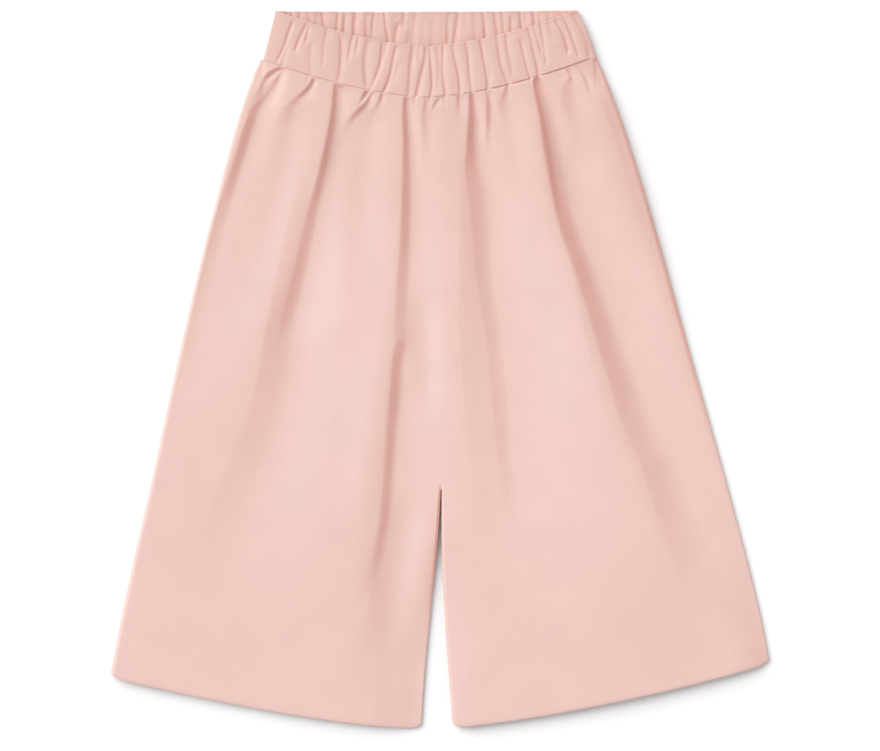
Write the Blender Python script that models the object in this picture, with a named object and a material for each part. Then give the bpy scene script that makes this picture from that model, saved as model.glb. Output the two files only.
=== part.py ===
"""Pull-on culottes with a ruched, elasticated waistband, laid flat on a surface.

Two front legs lie on two back legs, and a front waistband lies on a back waistband whose inner
face shows above the dip of the front one. Left and right are the wearer's: the right leg is at -X.
The waist points to +Y and the garment rests on z = 0.

Every wall is a grid of points over the cloth. A point's place is worked out across and down the
garment in millimetres: "across" runs from the wearer's right to left, "down" from the top edge of the
back waistband to the hems. Its height comes from the loft of the layer and from the tables of folds.
"""

import math
from collections import namedtuple

import bmesh
import bpy
import numpy as np

MM = 0.001

# ---------------------------------------------------------------- driving sizes, in millimetres
LENGTH = 574.0              # top edge of the back waistband to the lowest point of the hems
SEAM_GAP = 0.3              # clear space between two pieces at a seam, and between two layers
PANEL_WALL = 1.2            # one layer of crinkled cotton
BAND_WALL = 2.6             # two layers of cloth round the elastic

BAND_TOP_RIGHT = (-132.8, 1.0)      # (across, down) of the waistband's corners
BAND_TOP_LEFT = (107.8, 0.4)
BAND_FOOT_RIGHT = (-142.8, 40.4)
BAND_FOOT_LEFT = (122.4, 37.4)
BAND_LEFT_BULGE = 1.2       # how far the waistband's left side bows out
BACK_TOP_DIP = 0.8          # how far the back waistband's top edge sags in the middle
FRONT_TOP_DIP = 28.6        # the same for the front waistband's
FRONT_FOOT_DIP = 31.2       # the same for the seam that joins it to the front legs
SAG_ROUNDNESS = 1.6         # 2 sags as a parabola, and 1 is a sharp V
PANEL_BULGE = 0.5           # how far the legs stand out beyond the waistband at each side

CENTRE_SEAM_TOP = -13.6     # across, where the centre seams meet the waistband
CROTCH = (-0.8, 384.0)      # (across, down) of the point where the legs part

SIDE_HEM_RIGHT = (-263.6, 533.4)
SIDE_HEM_LEFT = (261.4, 522.0)
INNER_HEM_RIGHT = (-17.0, 573.6)
INNER_HEM_LEFT = (8.6, 572.8)
CORNER_EASE = 2.6           # how far a hem corner is rounded up
CORNER_REACH = 9.0          # the length of hem that the rounding takes
HEM_BOW_RIGHT = (6.0, 1.35)     # how far a hem bows down, and how far the bow leans to the inseam
HEM_BOW_LEFT = (6.4, 1.1)

# ---------------------------------------------------------------- outline, a row for each section
Section = namedtuple("Section", "down right_side left_side")
SECTIONS = (
    Section(38.0, -143.0, 122.8),
    Section(45.0, -147.0, 126.3),
    Section(60.0, -152.9, 132.4),
    Section(90.0, -162.9, 143.6),
    Section(130.0, -173.9, 156.6),
    Section(184.0, -187.9, 172.5),
    Section(260.0, -205.9, 193.5),
    Section(384.0, -232.9, 227.8),
    Section(440.0, -245.6, 242.6),
    Section(480.0, -254.2, 252.4),
    Section(536.0, -265.1, 263.6),
)

InnerSection = namedtuple("InnerSection", "down right_inner left_inner")
INSEAM_SECTIONS = (
    InnerSection(384.0, -0.8, -0.8),
    InnerSection(424.0, -3.6, -0.4),
    InnerSection(480.0, -9.2, 2.0),
    InnerSection(530.0, -14.0, 5.4),
    InnerSection(576.0, -17.2, 8.8),
)

# ---------------------------------------------------------------- folds, a row for each place down one
# A fold is a trough along a line. At each row, share is the part of the layer's loft that it takes
# away, and left and right are the widths of its sides towards the wearer's right and left.
Crease = namedtuple("Crease", "down across share left right")
NARROWEST_FOLD = 4.0        # a fold's side is never narrower than this, to keep the wall clear of itself

FRONT_FOLDS = {
    "right side pinch, outer": (
        Crease(46.2, -125.6, 0.3, 0.9, 2.0),
        Crease(47.4, -129.2, 0.75, 1.2, 2.5),
        Crease(49.8, -133.8, 0.95, 1.4, 3.0),
        Crease(52.2, -136.8, 1.0, 1.7, 3.5),
        Crease(55.4, -139.4, 0.9, 2.1, 4.0),
        Crease(59.4, -141.0, 0.65, 2.4, 5.0),
        Crease(65.0, -142.6, 0.4, 2.8, 6.0),
        Crease(74.0, -145.0, 0.0, 3.0, 8.0),
    ),
    "right side pinch, inner": (
        Crease(47.6, -126.2, 0.25, 1.0, 2.5),
        Crease(53.6, -129.5, 0.5, 1.2, 3.5),
        Crease(60.6, -133.1, 0.6, 1.4, 4.5),
        Crease(66.7, -136.9, 0.65, 1.8, 6.0),
        Crease(71.0, -139.6, 0.7, 2.4, 8.0),
        Crease(76.0, -143.0, 0.8, 3.5, 10.0),
        Crease(82.0, -146.2, 0.9, 4.6, 14.0),
        Crease(90.0, -149.0, 0.95, 5.0, 18.0),
        Crease(110.0, -154.8, 0.9, 5.4, 24.0),
        Crease(130.0, -160.6, 0.72, 5.6, 28.0),
        Crease(160.0, -168.8, 0.5, 7.0, 32.0),
        Crease(200.0, -179.0, 0.36, 10.0, 34.0),
        Crease(250.0, -191.0, 0.24, 12.0, 34.0),
        Crease(320.0, -206.0, 0.0, 14.0, 32.0),
    ),
    "right gather by the side": (
        Crease(54.5, -101.6, 0.15, 0.9, 2.0),
        Crease(57.0, -102.8, 0.45, 1.0, 2.5),
        Crease(60.5, -104.4, 0.52, 1.1, 3.0),
        Crease(64.5, -107.0, 0.52, 1.4, 4.0),
        Crease(68.0, -109.8, 0.44, 1.9, 6.0),
        Crease(71.5, -112.4, 0.34, 3.0, 8.0),
        Crease(77.0, -115.0, 0.34, 6.0, 12.0),
        Crease(90.0, -119.0, 0.44, 9.0, 14.0),
        Crease(105.0, -122.5, 0.5, 12.0, 16.0),
        Crease(120.0, -125.5, 0.52, 14.0, 18.0),
        Crease(170.0, -135.0, 0.42, 18.0, 24.0),
        Crease(250.0, -154.0, 0.0, 18.0, 26.0),
    ),
    "right main fold": (
        Crease(58.4, -83.8, 0.3, 1.8, 4.0),
        Crease(66.0, -83.8, 0.66, 2.2, 8.0),
        Crease(78.0, -84.2, 0.72, 2.5, 10.0),
        Crease(95.0, -86.2, 0.74, 2.9, 14.0),
        Crease(120.0, -90.4, 0.74, 3.5, 18.0),
        Crease(145.0, -95.3, 0.72, 4.5, 22.0),
        Crease(160.0, -98.4, 0.72, 5.6, 26.0),
        Crease(180.0, -102.0, 0.72, 6.4, 26.0),
        Crease(200.0, -105.8, 0.72, 6.8, 24.0),
        Crease(220.0, -110.2, 0.68, 7.2, 22.0),
        Crease(240.0, -114.2, 0.56, 8.0, 20.0),
        Crease(255.0, -116.6, 0.28, 8.5, 20.0),
        Crease(268.0, -118.6, 0.0, 9.0, 20.0),
    ),
    "right slanting gather": (
        Crease(65.6, -55.0, 0.12, 1.0, 2.0),
        Crease(70.6, -57.2, 0.32, 1.1, 3.0),
        Crease(75.0, -59.6, 0.42, 1.4, 5.0),
        Crease(80.0, -63.2, 0.48, 2.0, 8.0),
        Crease(85.0, -67.0, 0.48, 3.0, 11.0),
        Crease(91.0, -70.4, 0.46, 4.5, 14.0),
        Crease(104.0, -74.4, 0.42, 7.0, 16.0),
        Crease(130.0, -78.0, 0.2, 10.0, 18.0),
        Crease(160.0, -80.0, 0.0, 10.0, 18.0),
    ),
    "right short gather": (
        Crease(62.0, -59.0, 0.4, 1.2, 2.0),
        Crease(67.0, -60.5, 0.4, 1.4, 2.0),
        Crease(73.0, -62.5, 0.0, 1.6, 2.0),
    ),
    "right soft gather": (
        Crease(66.0, -46.4, 0.15, 0.9, 2.0),
        Crease(71.0, -48.6, 0.2, 1.0, 3.0),
        Crease(76.0, -50.0, 0.2, 1.6, 6.0),
        Crease(82.0, -52.0, 0.28, 4.5, 9.0),
        Crease(98.0, -58.0, 0.42, 10.0, 12.0),
        Crease(125.0, -62.0, 0.46, 12.0, 15.0),
        Crease(160.0, -64.0, 0.36, 13.0, 18.0),
        Crease(200.0, -66.0, 0.2, 13.0, 20.0),
        Crease(250.0, -70.0, 0.0, 14.0, 22.0),
    ),
    "right inner fold, upper": (
        Crease(68.8, -28.4, 0.15, 1.3, 2.0),
        Crease(75.0, -28.4, 0.45, 1.8, 4.0),
        Crease(85.0, -27.8, 0.6, 2.3, 6.0),
        Crease(100.0, -26.6, 0.68, 2.9, 8.0),
        Crease(125.0, -25.2, 0.64, 4.0, 12.0),
        Crease(150.0, -24.5, 0.6, 4.9, 18.0),
        Crease(190.0, -24.8, 0.52, 5.9, 24.0),
        Crease(225.0, -26.0, 0.38, 7.0, 22.0),
        Crease(248.0, -27.0, 0.22, 7.0, 18.0),
        Crease(264.0, -28.0, 0.0, 8.0, 16.0),
    ),
    "right inner fold, lower": (
        Crease(236.0, -24.0, 0.0, 8.0, 16.0),
        Crease(252.0, -25.0, 0.15, 8.0, 16.0),
        Crease(266.0, -27.0, 0.36, 6.4, 18.0),
        Crease(280.0, -30.6, 0.44, 5.8, 22.0),
        Crease(300.0, -32.0, 0.48, 6.0, 26.0),
        Crease(340.0, -35.6, 0.45, 5.8, 30.0),
        Crease(380.0, -38.4, 0.42, 5.6, 34.0),
        Crease(400.0, -40.2, 0.42, 5.6, 34.0),
        Crease(420.0, -43.0, 0.38, 5.6, 24.0),
        Crease(445.0, -47.5, 0.24, 6.5, 18.0),
        Crease(465.0, -52.0, 0.08, 8.0, 16.0),
        Crease(485.0, -55.0, 0.0, 8.0, 16.0),
    ),
    "right inner hem hollow": (
        Crease(430.0, -20.0, 0.0, 18.0, 20.0),
        Crease(470.0, -18.0, 0.35, 24.0, 20.0),
        Crease(510.0, -14.0, 0.8, 26.0, 20.0),
        Crease(545.0, -14.0, 1.0, 26.0, 20.0),
        Crease(576.0, -14.0, 1.0, 26.0, 20.0),
    ),
    "centre crease": (
        Crease(70.6, -12.8, 0.12, 0.9, 2.0),
        Crease(76.0, -13.0, 0.16, 1.0, 3.0),
        Crease(84.0, -12.6, 0.18, 2.5, 5.0),
        Crease(100.0, -10.5, 0.22, 4.0, 6.0),
        Crease(130.0, -9.0, 0.0, 5.0, 6.0),
    ),
    "centre slant": (
        Crease(70.6, -2.4, 0.12, 0.9, 2.0),
        Crease(74.0, -4.0, 0.2, 1.0, 3.0),
        Crease(77.5, -6.0, 0.16, 1.3, 4.0),
        Crease(84.0, -7.0, 0.1, 3.0, 6.0),
        Crease(100.0, -6.0, 0.0, 5.0, 8.0),
    ),
    "left short gather": (
        Crease(66.5, 13.4, 0.15, 1.4, 3.0),
        Crease(74.0, 14.6, 0.22, 2.4, 5.0),
        Crease(86.0, 16.0, 0.1, 4.0, 8.0),
        Crease(100.0, 17.0, 0.0, 6.0, 8.0),
    ),
    "left inner fold": (
        Crease(65.6, 22.8, 0.2, 1.0, 2.0),
        Crease(70.0, 23.8, 0.42, 1.5, 3.0),
        Crease(80.0, 25.0, 0.72, 2.3, 5.0),
        Crease(90.0, 25.6, 0.9, 3.0, 7.0),
        Crease(105.0, 26.0, 0.95, 4.0, 9.0),
        Crease(118.0, 28.0, 0.95, 5.6, 11.0),
        Crease(132.0, 32.8, 0.88, 8.8, 14.0),
        Crease(150.0, 37.0, 0.78, 10.2, 19.0),
        Crease(175.0, 39.0, 0.7, 10.0, 26.0),
        Crease(200.0, 40.4, 0.62, 9.4, 34.0),
        Crease(220.0, 41.8, 0.54, 8.6, 38.0),
        Crease(240.0, 45.0, 0.5, 8.4, 42.0),
        Crease(260.0, 48.4, 0.48, 8.8, 44.0),
        Crease(290.0, 51.4, 0.46, 9.0, 46.0),
        Crease(320.0, 53.8, 0.44, 8.6, 46.0),
        Crease(350.0, 56.0, 0.36, 8.2, 46.0),
        Crease(380.0, 58.6, 0.22, 7.4, 46.0),
        Crease(412.0, 60.0, 0.0, 7.0, 46.0),
    ),
    "left second gather": (
        Crease(64.0, 37.4, 0.15, 1.1, 2.0),
        Crease(72.0, 38.3, 0.28, 1.8, 4.0),
        Crease(88.0, 38.9, 0.38, 2.6, 8.0),
        Crease(103.0, 38.6, 0.32, 3.0, 12.0),
        Crease(118.0, 38.4, 0.15, 4.0, 12.0),
        Crease(132.0, 38.0, 0.0, 5.0, 12.0),
    ),
    "left third gather": (
        Crease(60.0, 52.0, 0.18, 1.0, 2.0),
        Crease(65.0, 52.0, 0.2, 1.6, 4.0),
        Crease(72.0, 52.0, 0.24, 4.0, 7.0),
        Crease(88.0, 54.0, 0.28, 7.0, 10.0),
        Crease(112.0, 58.0, 0.12, 9.0, 12.0),
        Crease(135.0, 62.0, 0.0, 9.0, 12.0),
    ),
    "left main fold": (
        Crease(53.0, 75.0, 0.3, 1.5, 2.0),
        Crease(60.0, 77.2, 0.62, 2.9, 4.0),
        Crease(70.0, 80.8, 0.9, 4.0, 6.0),
        Crease(80.0, 84.5, 1.0, 4.8, 8.0),
        Crease(95.0, 88.1, 1.0, 5.7, 12.0),
        Crease(110.0, 91.9, 1.0, 6.7, 14.0),
        Crease(120.0, 94.8, 1.0, 7.3, 16.0),
        Crease(140.0, 100.6, 1.0, 8.4, 18.0),
        Crease(160.0, 105.6, 1.0, 9.0, 22.0),
        Crease(180.0, 112.0, 0.98, 9.6, 24.0),
        Crease(200.0, 120.0, 0.96, 10.2, 28.0),
        Crease(220.0, 127.6, 0.95, 11.0, 30.0),
        Crease(240.0, 135.2, 0.95, 11.8, 34.0),
        Crease(260.0, 142.4, 0.95, 12.8, 36.0),
        Crease(280.0, 150.0, 0.95, 13.8, 38.0),
        Crease(300.0, 158.0, 0.95, 14.8, 40.0),
        Crease(320.0, 166.0, 0.94, 15.8, 42.0),
        Crease(340.0, 176.0, 0.92, 16.8, 44.0),
        Crease(360.0, 186.4, 0.9, 17.8, 46.0),
        Crease(380.0, 194.6, 0.86, 18.8, 46.0),
        Crease(400.0, 202.6, 0.78, 19.8, 48.0),
        Crease(430.0, 216.0, 0.52, 21.0, 48.0),
        Crease(470.0, 235.0, 0.0, 23.0, 48.0),
    ),
    "left main fold's soft side": (
        Crease(94.0, 101.0, 0.0, 9.0, 12.0),
        Crease(118.0, 106.5, 0.35, 12.0, 16.0),
        Crease(140.0, 112.0, 0.55, 15.0, 20.0),
        Crease(160.0, 118.0, 0.62, 17.0, 22.0),
        Crease(180.0, 125.5, 0.62, 19.0, 24.0),
        Crease(200.0, 132.5, 0.6, 20.0, 26.0),
        Crease(240.0, 145.0, 0.55, 23.0, 30.0),
        Crease(280.0, 159.0, 0.52, 27.0, 34.0),
        Crease(320.0, 174.0, 0.5, 29.0, 36.0),
        Crease(360.0, 193.0, 0.48, 30.0, 38.0),
        Crease(400.0, 209.0, 0.48, 31.0, 40.0),
        Crease(440.0, 230.0, 0.46, 32.0, 40.0),
        Crease(490.0, 249.0, 0.1, 32.0, 40.0),
        Crease(515.0, 255.0, 0.0, 32.0, 40.0),
    ),
    "left outer gather": (
        Crease(46.0, 99.6, 0.15, 1.0, 2.0),
        Crease(50.0, 101.6, 0.35, 1.1, 3.0),
        Crease(55.0, 104.0, 0.3, 1.4, 4.0),
        Crease(59.0, 104.4, 0.28, 4.0, 5.0),
        Crease(68.0, 105.0, 0.36, 6.5, 10.0),
        Crease(85.0, 107.5, 0.34, 8.0, 14.0),
        Crease(105.0, 112.0, 0.24, 10.0, 16.0),
        Crease(140.0, 119.0, 0.0, 10.0, 18.0),
    ),
    "left outermost gather": (
        Crease(45.0, 107.6, 0.12, 1.2, 2.0),
        Crease(50.0, 112.0, 0.3, 1.4, 3.0),
        Crease(55.0, 114.8, 0.35, 1.4, 4.0),
        Crease(61.0, 117.0, 0.28, 1.4, 5.0),
        Crease(68.0, 119.5, 0.08, 2.0, 6.0),
        Crease(74.0, 121.0, 0.0, 2.0, 6.0),
    ),
    "left side crease": (
        Crease(40.0, 121.4, 0.12, 1.0, 2.0),
        Crease(48.0, 123.8, 0.16, 1.1, 3.0),
        Crease(55.0, 126.8, 0.14, 1.2, 3.0),
        Crease(60.0, 128.8, 0.0, 1.5, 3.0),
    ),
    "left side hollow": (
        Crease(72.0, 134.0, 0.0, 10.0, 12.0),
        Crease(94.0, 142.0, 0.1, 12.0, 14.0),
        Crease(120.0, 150.0, 0.1, 13.0, 14.0),
        Crease(200.0, 168.0, 0.0, 14.0, 16.0),
    ),
    "left inner fold's soft side": (
        Crease(112.0, 28.0, 0.0, 8.0, 14.0),
        Crease(140.0, 34.0, 0.3, 13.0, 18.0),
        Crease(200.0, 38.0, 0.42, 16.0, 28.0),
        Crease(260.0, 43.0, 0.45, 19.0, 36.0),
        Crease(320.0, 47.0, 0.35, 19.0, 42.0),
        Crease(380.0, 51.0, 0.2, 18.0, 44.0),
        Crease(440.0, 54.0, 0.0, 18.0, 44.0),
    ),
    "right inner fold's soft end": (
        Crease(385.0, -27.0, 0.0, 9.0, 14.0),
        Crease(415.0, -29.5, 0.42, 12.0, 16.0),
        Crease(450.0, -33.0, 0.6, 14.0, 18.0),
        Crease(480.0, -36.0, 0.48, 15.0, 20.0),
        Crease(520.0, -40.0, 0.2, 16.0, 20.0),
        Crease(552.0, -42.0, 0.0, 16.0, 20.0),
    ),
    "right main fold's soft side": (
        Crease(120.0, -101.0, 0.0, 8.0, 20.0),
        Crease(150.0, -105.0, 0.25, 9.0, 22.0),
        Crease(175.0, -108.0, 0.34, 11.0, 24.0),
        Crease(200.0, -110.5, 0.4, 12.5, 26.0),
        Crease(240.0, -115.0, 0.5, 15.0, 28.0),
        Crease(265.0, -117.0, 0.55, 17.0, 30.0),
        Crease(290.0, -119.5, 0.54, 18.0, 34.0),
        Crease(320.0, -125.0, 0.5, 19.0, 36.0),
        Crease(360.0, -138.0, 0.38, 20.0, 38.0),
        Crease(400.0, -151.0, 0.24, 22.0, 38.0),
        Crease(460.0, -166.0, 0.0, 24.0, 38.0),
    ),
    "right inner fold's shallow hollow": (
        Crease(222.0, -15.0, 0.0, 9.0, 10.0),
        Crease(245.0, -14.0, 0.25, 9.0, 10.0),
        Crease(270.0, -12.5, 0.28, 9.0, 10.0),
        Crease(300.0, -11.5, 0.22, 8.0, 10.0),
        Crease(332.0, -12.0, 0.0, 8.0, 10.0),
    ),
    "right side pinch, between": (
        Crease(51.0, -131.0, 0.0, 4.0, 4.0),
        Crease(57.0, -134.6, 0.6, 5.0, 4.0),
        Crease(66.0, -138.8, 0.85, 6.0, 5.0),
        Crease(74.0, -143.4, 0.65, 5.8, 7.0),
        Crease(83.0, -148.0, 0.0, 5.0, 8.0),
    ),
    "right slanting gather's twin": (
        Crease(65.0, -59.6, 0.1, 0.9, 1.5),
        Crease(69.0, -62.0, 0.25, 0.9, 2.0),
        Crease(73.0, -64.0, 0.2, 1.0, 2.5),
        Crease(77.0, -66.0, 0.0, 1.2, 3.0),
    ),
}

BACK_FOLDS = (
    (
        Crease(38.0, -126.0, 0.8, 4.0, 9.0),
        Crease(96.0, -140.0, 0.7, 6.0, 14.0),
        Crease(150.0, -152.0, 0.0, 9.0, 20.0),
    ),
    (
        Crease(38.0, -106.0, 0.6, 3.6, 8.0),
        Crease(70.0, -112.0, 0.0, 5.0, 12.0),
    ),
    (
        Crease(38.0, -84.0, 0.9, 4.4, 10.0),
        Crease(130.0, -96.0, 0.8, 9.0, 20.0),
        Crease(240.0, -118.0, 0.0, 14.0, 30.0),
    ),
    (
        Crease(38.0, -60.0, 0.6, 3.6, 8.0),
        Crease(84.0, -64.0, 0.0, 6.0, 12.0),
    ),
    (
        Crease(38.0, -38.0, 0.85, 4.4, 10.0),
        Crease(120.0, -42.0, 0.7, 8.0, 20.0),
        Crease(210.0, -50.0, 0.0, 12.0, 28.0),
    ),
    (
        Crease(38.0, -20.0, 0.55, 3.6, 8.0),
        Crease(66.0, -22.0, 0.0, 4.4, 10.0),
    ),
    (
        Crease(38.0, 2.0, 0.55, 3.6, 8.0),
        Crease(74.0, 4.0, 0.0, 5.0, 10.0),
    ),
    (
        Crease(38.0, 22.0, 0.9, 4.4, 10.0),
        Crease(120.0, 28.0, 0.7, 8.0, 20.0),
        Crease(230.0, 40.0, 0.0, 13.0, 28.0),
    ),
    (
        Crease(38.0, 46.0, 0.6, 3.6, 8.0),
        Crease(80.0, 50.0, 0.0, 5.0, 12.0),
    ),
    (
        Crease(38.0, 66.0, 0.9, 4.4, 10.0),
        Crease(140.0, 80.0, 0.8, 9.0, 20.0),
        Crease(250.0, 104.0, 0.0, 14.0, 30.0),
    ),
    (
        Crease(38.0, 86.0, 0.6, 3.6, 8.0),
        Crease(74.0, 92.0, 0.0, 5.0, 10.0),
    ),
    (
        Crease(38.0, 104.0, 0.8, 4.0, 9.0),
        Crease(90.0, 118.0, 0.6, 6.0, 14.0),
        Crease(140.0, 130.0, 0.0, 8.0, 18.0),
    ),
)

# Broad soft swells and hollows: where, half widths across and down, turn in degrees, and height.
Swell = namedtuple("Swell", "across down wide long turn height")
SWELLS = (
    Swell(112.0, 210.0, 28.0, 100.0, 20.0, 3.5),
    Swell(146.0, 325.0, 40.0, 80.0, 24.0, 3.0),
    Swell(158.0, 440.0, 50.0, 60.0, 24.0, 2.0),
    Swell(76.0, 110.0, 14.0, 50.0, 12.0, 1.5),
    Swell(-128.0, 190.0, 22.0, 80.0, -12.0, 1.5),
    Swell(-90.0, 420.0, 40.0, 100.0, -8.0, 2.0),
    Swell(126.0, 480.0, 60.0, 90.0, 15.0, 2.5),
    Swell(-54.0, 330.0, 16.0, 110.0, -7.0, 2.0),
)

# Height of a layer above what it lies on, where no fold takes it down.
Loft = namedtuple("Loft", "fall height")
FRONT_LOFT = (
    Loft(0.0, 6.0),
    Loft(30.0, 6.8),
    Loft(70.0, 7.8),
    Loft(130.0, 8.8),
    Loft(200.0, 9.0),
    Loft(320.0, 7.6),
    Loft(430.0, 5.4),
    Loft(530.0, 3.4),
)
SEAM_REACH = 25.0           # how far below the waistband the legs keep to its height
LEAST_SEAM_LOFT = 0.6
BACK_LOFT = 2.2             # the most that a fold lifts the back legs off the surface
BACK_LOFT_REACH = 230.0     # how far below the waistband those folds reach
BACK_ROLL = 20.0            # width over which a back leg comes down to its edges
EDGE_TURN = 2.8             # width over which a front leg turns down to its side seam and inseam
LEFT_EDGE_TURN = 3.4        # the same at the left side seam
# How much of the loft is lost towards the side seams, a row for each place down them, and towards the
# inseams: the share lost and the width of the slope.
SideSlope = namedtuple("SideSlope", "down right_share left_share wide")
SIDE_SLOPES = (
    SideSlope(38.0, 0.1, 0.12, 40.0),
    SideSlope(150.0, 0.1, 0.3, 50.0),
    SideSlope(320.0, 0.1, 0.6, 56.0),
    SideSlope(440.0, 0.1, 1.0, 36.0),
    SideSlope(536.0, 0.2, 1.0, 30.0),
)
LEFT_EDGE_SLOPE = (0.45, 13.0)      # a narrower one at the left side seam, which grows from the waist down
LEFT_EDGE_OPENS = 400.0
INSEAM_RIGHT_SLOPE = (0.9, 20.0)
INSEAM_LEFT_SLOPE = (0.15, 26.0)
INSEAM_OPENS = 110.0        # how far below the crotch the inseams' slopes grow to their full share
FOLD_ARCH = 0.35            # how far a fold's steeper side is a round arch, the rest being a soft bell
FOLD_END = 8.0              # how far past its last row a fold fades out
SEAM_PINCH = 5.0            # how far below the waistband the gathers open
BACK_SEAM_PINCH = 5.0

# ---------------------------------------------------------------- ruching, a row for each furrow
# head, middle and foot are the furrow's places across at the band's top edge, half way down and at its
# seam. begins and ends are the parts of the band's height between which it runs, and depth is a part of
# FURROW_DEPTH.
Furrow = namedtuple("Furrow", "head middle foot begins ends depth")
FURROW_DEPTH = 0.7
FURROW_DARK_SIDE = 1.0      # how far its bottom lies beyond its line, which is its darker side
FURROW_FADE = 0.15          # part of the band's height over which a furrow fades out at an open end
FRONT_FURROWS = (
    Furrow(-118.5, -125.5, -133.5, 0.1, 0.95, 0.7),
    Furrow(-117.0, -123.0, -129.0, 0.5, 1.0, 0.4),
    Furrow(-108.3, -116.2, -122.5, 0.05, 0.62, 0.85),
    Furrow(-105.3, -110.8, -115.5, 0.08, 0.4, 0.7),
    Furrow(-104.5, -105.8, -106.5, 0.35, 1.0, 0.4),
    Furrow(-92.8, -95.4, -98.6, 0.0, 0.75, 0.4),
    Furrow(-90.5, -91.0, -91.5, 0.0, 0.15, 0.4),
    Furrow(-83.2, -81.3, -85.0, 0.08, 0.98, 0.8),
    Furrow(-71.8, -76.0, -80.0, 0.0, 0.5, 0.6),
    Furrow(-67.3, -71.4, -75.0, 0.0, 0.35, 0.6),
    Furrow(-60.0, -62.7, -61.4, 0.03, 0.98, 0.85),
    Furrow(-47.8, -51.0, -58.0, 0.0, 1.0, 0.8),
    Furrow(-45.4, -48.6, -52.5, 0.0, 0.35, 0.6),
    Furrow(-37.0, -41.0, -47.3, 0.08, 1.0, 0.95),
    Furrow(-32.0, -37.5, -42.0, 0.35, 0.8, 0.3),
    Furrow(-24.8, -26.2, -28.2, 0.0, 1.0, 0.9),
    Furrow(-19.0, -20.3, -23.0, 0.0, 0.28, 0.4),
    Furrow(-13.7, -16.8, -21.6, 0.0, 1.0, 1.0),
    Furrow(-11.2, -9.0, -10.0, 0.0, 1.0, 0.95),
    Furrow(-5.0, -3.7, -5.5, 0.0, 0.9, 0.45),
    Furrow(-0.2, 0.2, 1.8, 0.0, 1.0, 0.85),
    Furrow(7.6, 11.2, 13.8, 0.0, 1.0, 0.8),
    Furrow(18.4, 20.6, 23.2, 0.0, 1.0, 0.75),
    Furrow(29.2, 33.6, 35.4, 0.0, 1.0, 0.95),
    Furrow(33.0, 36.0, 38.8, 0.3, 0.85, 0.4),
    Furrow(42.4, 45.6, 52.0, 0.0, 1.0, 0.75),
    Furrow(50.0, 52.8, 55.6, 0.0, 0.85, 0.6),
    Furrow(60.0, 64.3, 70.0, 0.2, 1.0, 0.8),
    Furrow(67.2, 72.8, 75.9, 0.0, 1.0, 0.8),
    Furrow(72.0, 77.5, 79.5, 0.0, 0.6, 0.6),
    Furrow(77.4, 80.7, 84.3, 0.0, 0.8, 0.7),
    Furrow(83.5, 88.0, 92.5, 0.0, 0.4, 0.35),
    Furrow(89.4, 97.6, 101.2, 0.02, 0.75, 1.0),
    Furrow(94.8, 103.8, 109.5, 0.0, 0.88, 0.8),
    Furrow(103.2, 112.4, 116.8, 0.02, 0.98, 1.0),
)
BACK_FURROWS = (
    Furrow(-124.5, -127.0, -131.0, 0.0, 0.9, 0.6),
    Furrow(-121.0, -122.5, -124.5, 0.0, 1.0, 0.7),
    Furrow(-115.0, -116.0, -118.0, 0.0, 1.0, 0.6),
    Furrow(-107.5, -107.0, -108.5, 0.0, 1.0, 0.5),
    Furrow(-102.0, -102.0, -103.0, 0.05, 0.9, 0.4),
    Furrow(-97.0, -94.5, -94.0, 0.0, 1.0, 0.9),
    Furrow(-83.5, -85.8, -87.0, 0.0, 1.0, 0.8),
    Furrow(-79.0, -79.5, -80.5, 0.0, 1.0, 0.9),
    Furrow(-70.0, -71.5, -73.5, 0.0, 1.0, 1.0),
    Furrow(-67.0, -66.0, -65.5, 0.0, 0.15, 0.4),
    Furrow(-62.5, -61.0, -60.5, 0.05, 1.0, 0.7),
    Furrow(-54.5, -57.5, -58.5, 0.0, 1.0, 0.7),
    Furrow(-51.5, -52.5, -53.0, 0.0, 0.7, 0.3),
    Furrow(-46.8, -44.5, -43.2, 0.0, 1.0, 0.9),
    Furrow(-39.7, -40.3, -42.2, 0.1, 0.6, 0.3),
    Furrow(-34.0, -37.8, -41.0, 0.25, 1.0, 0.9),
    Furrow(-30.8, -32.5, -34.0, 0.0, 0.35, 0.7),
    Furrow(-27.0, -27.6, -28.0, 0.1, 0.7, 0.5),
    Furrow(-22.3, -24.3, -26.0, 0.0, 1.0, 0.6),
    Furrow(-17.0, -16.5, -16.0, 0.2, 0.7, 0.25),
    Furrow(-9.3, -9.3, -9.5, 0.2, 1.0, 0.35),
    Furrow(4.8, 3.5, 3.0, 0.05, 0.7, 0.6),
    Furrow(12.0, 9.4, 8.2, 0.0, 1.0, 0.8),
    Furrow(17.0, 17.0, 17.5, 0.0, 0.4, 0.3),
    Furrow(25.5, 24.7, 25.0, 0.0, 0.8, 0.4),
    Furrow(31.3, 33.7, 34.5, 0.0, 1.0, 0.9),
    Furrow(41.0, 43.5, 45.0, 0.0, 1.0, 0.6),
    Furrow(47.5, 48.0, 49.0, 0.0, 1.0, 0.6),
    Furrow(53.8, 54.8, 56.0, 0.12, 0.9, 0.8),
    Furrow(62.0, 63.0, 64.0, 0.0, 1.0, 0.8),
    Furrow(65.0, 66.0, 67.5, 0.0, 0.25, 0.5),
    Furrow(71.8, 74.5, 77.0, 0.0, 1.0, 0.9),
    Furrow(76.5, 78.8, 81.5, 0.05, 0.9, 0.7),
    Furrow(83.0, 86.0, 89.0, 0.0, 0.8, 0.35),
    Furrow(93.0, 98.0, 102.0, 0.0, 0.8, 0.4),
    Furrow(100.0, 106.0, 111.0, 0.0, 0.9, 0.5),
)
BAND_ROWS = (0.0, 0.025, 0.10, 0.38, 0.66, 0.92, 1.0)     # places down the band, as parts of its height
EDGE_ROUNDING = 2.4         # radius of the band's folded top edge and of its sides
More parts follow.
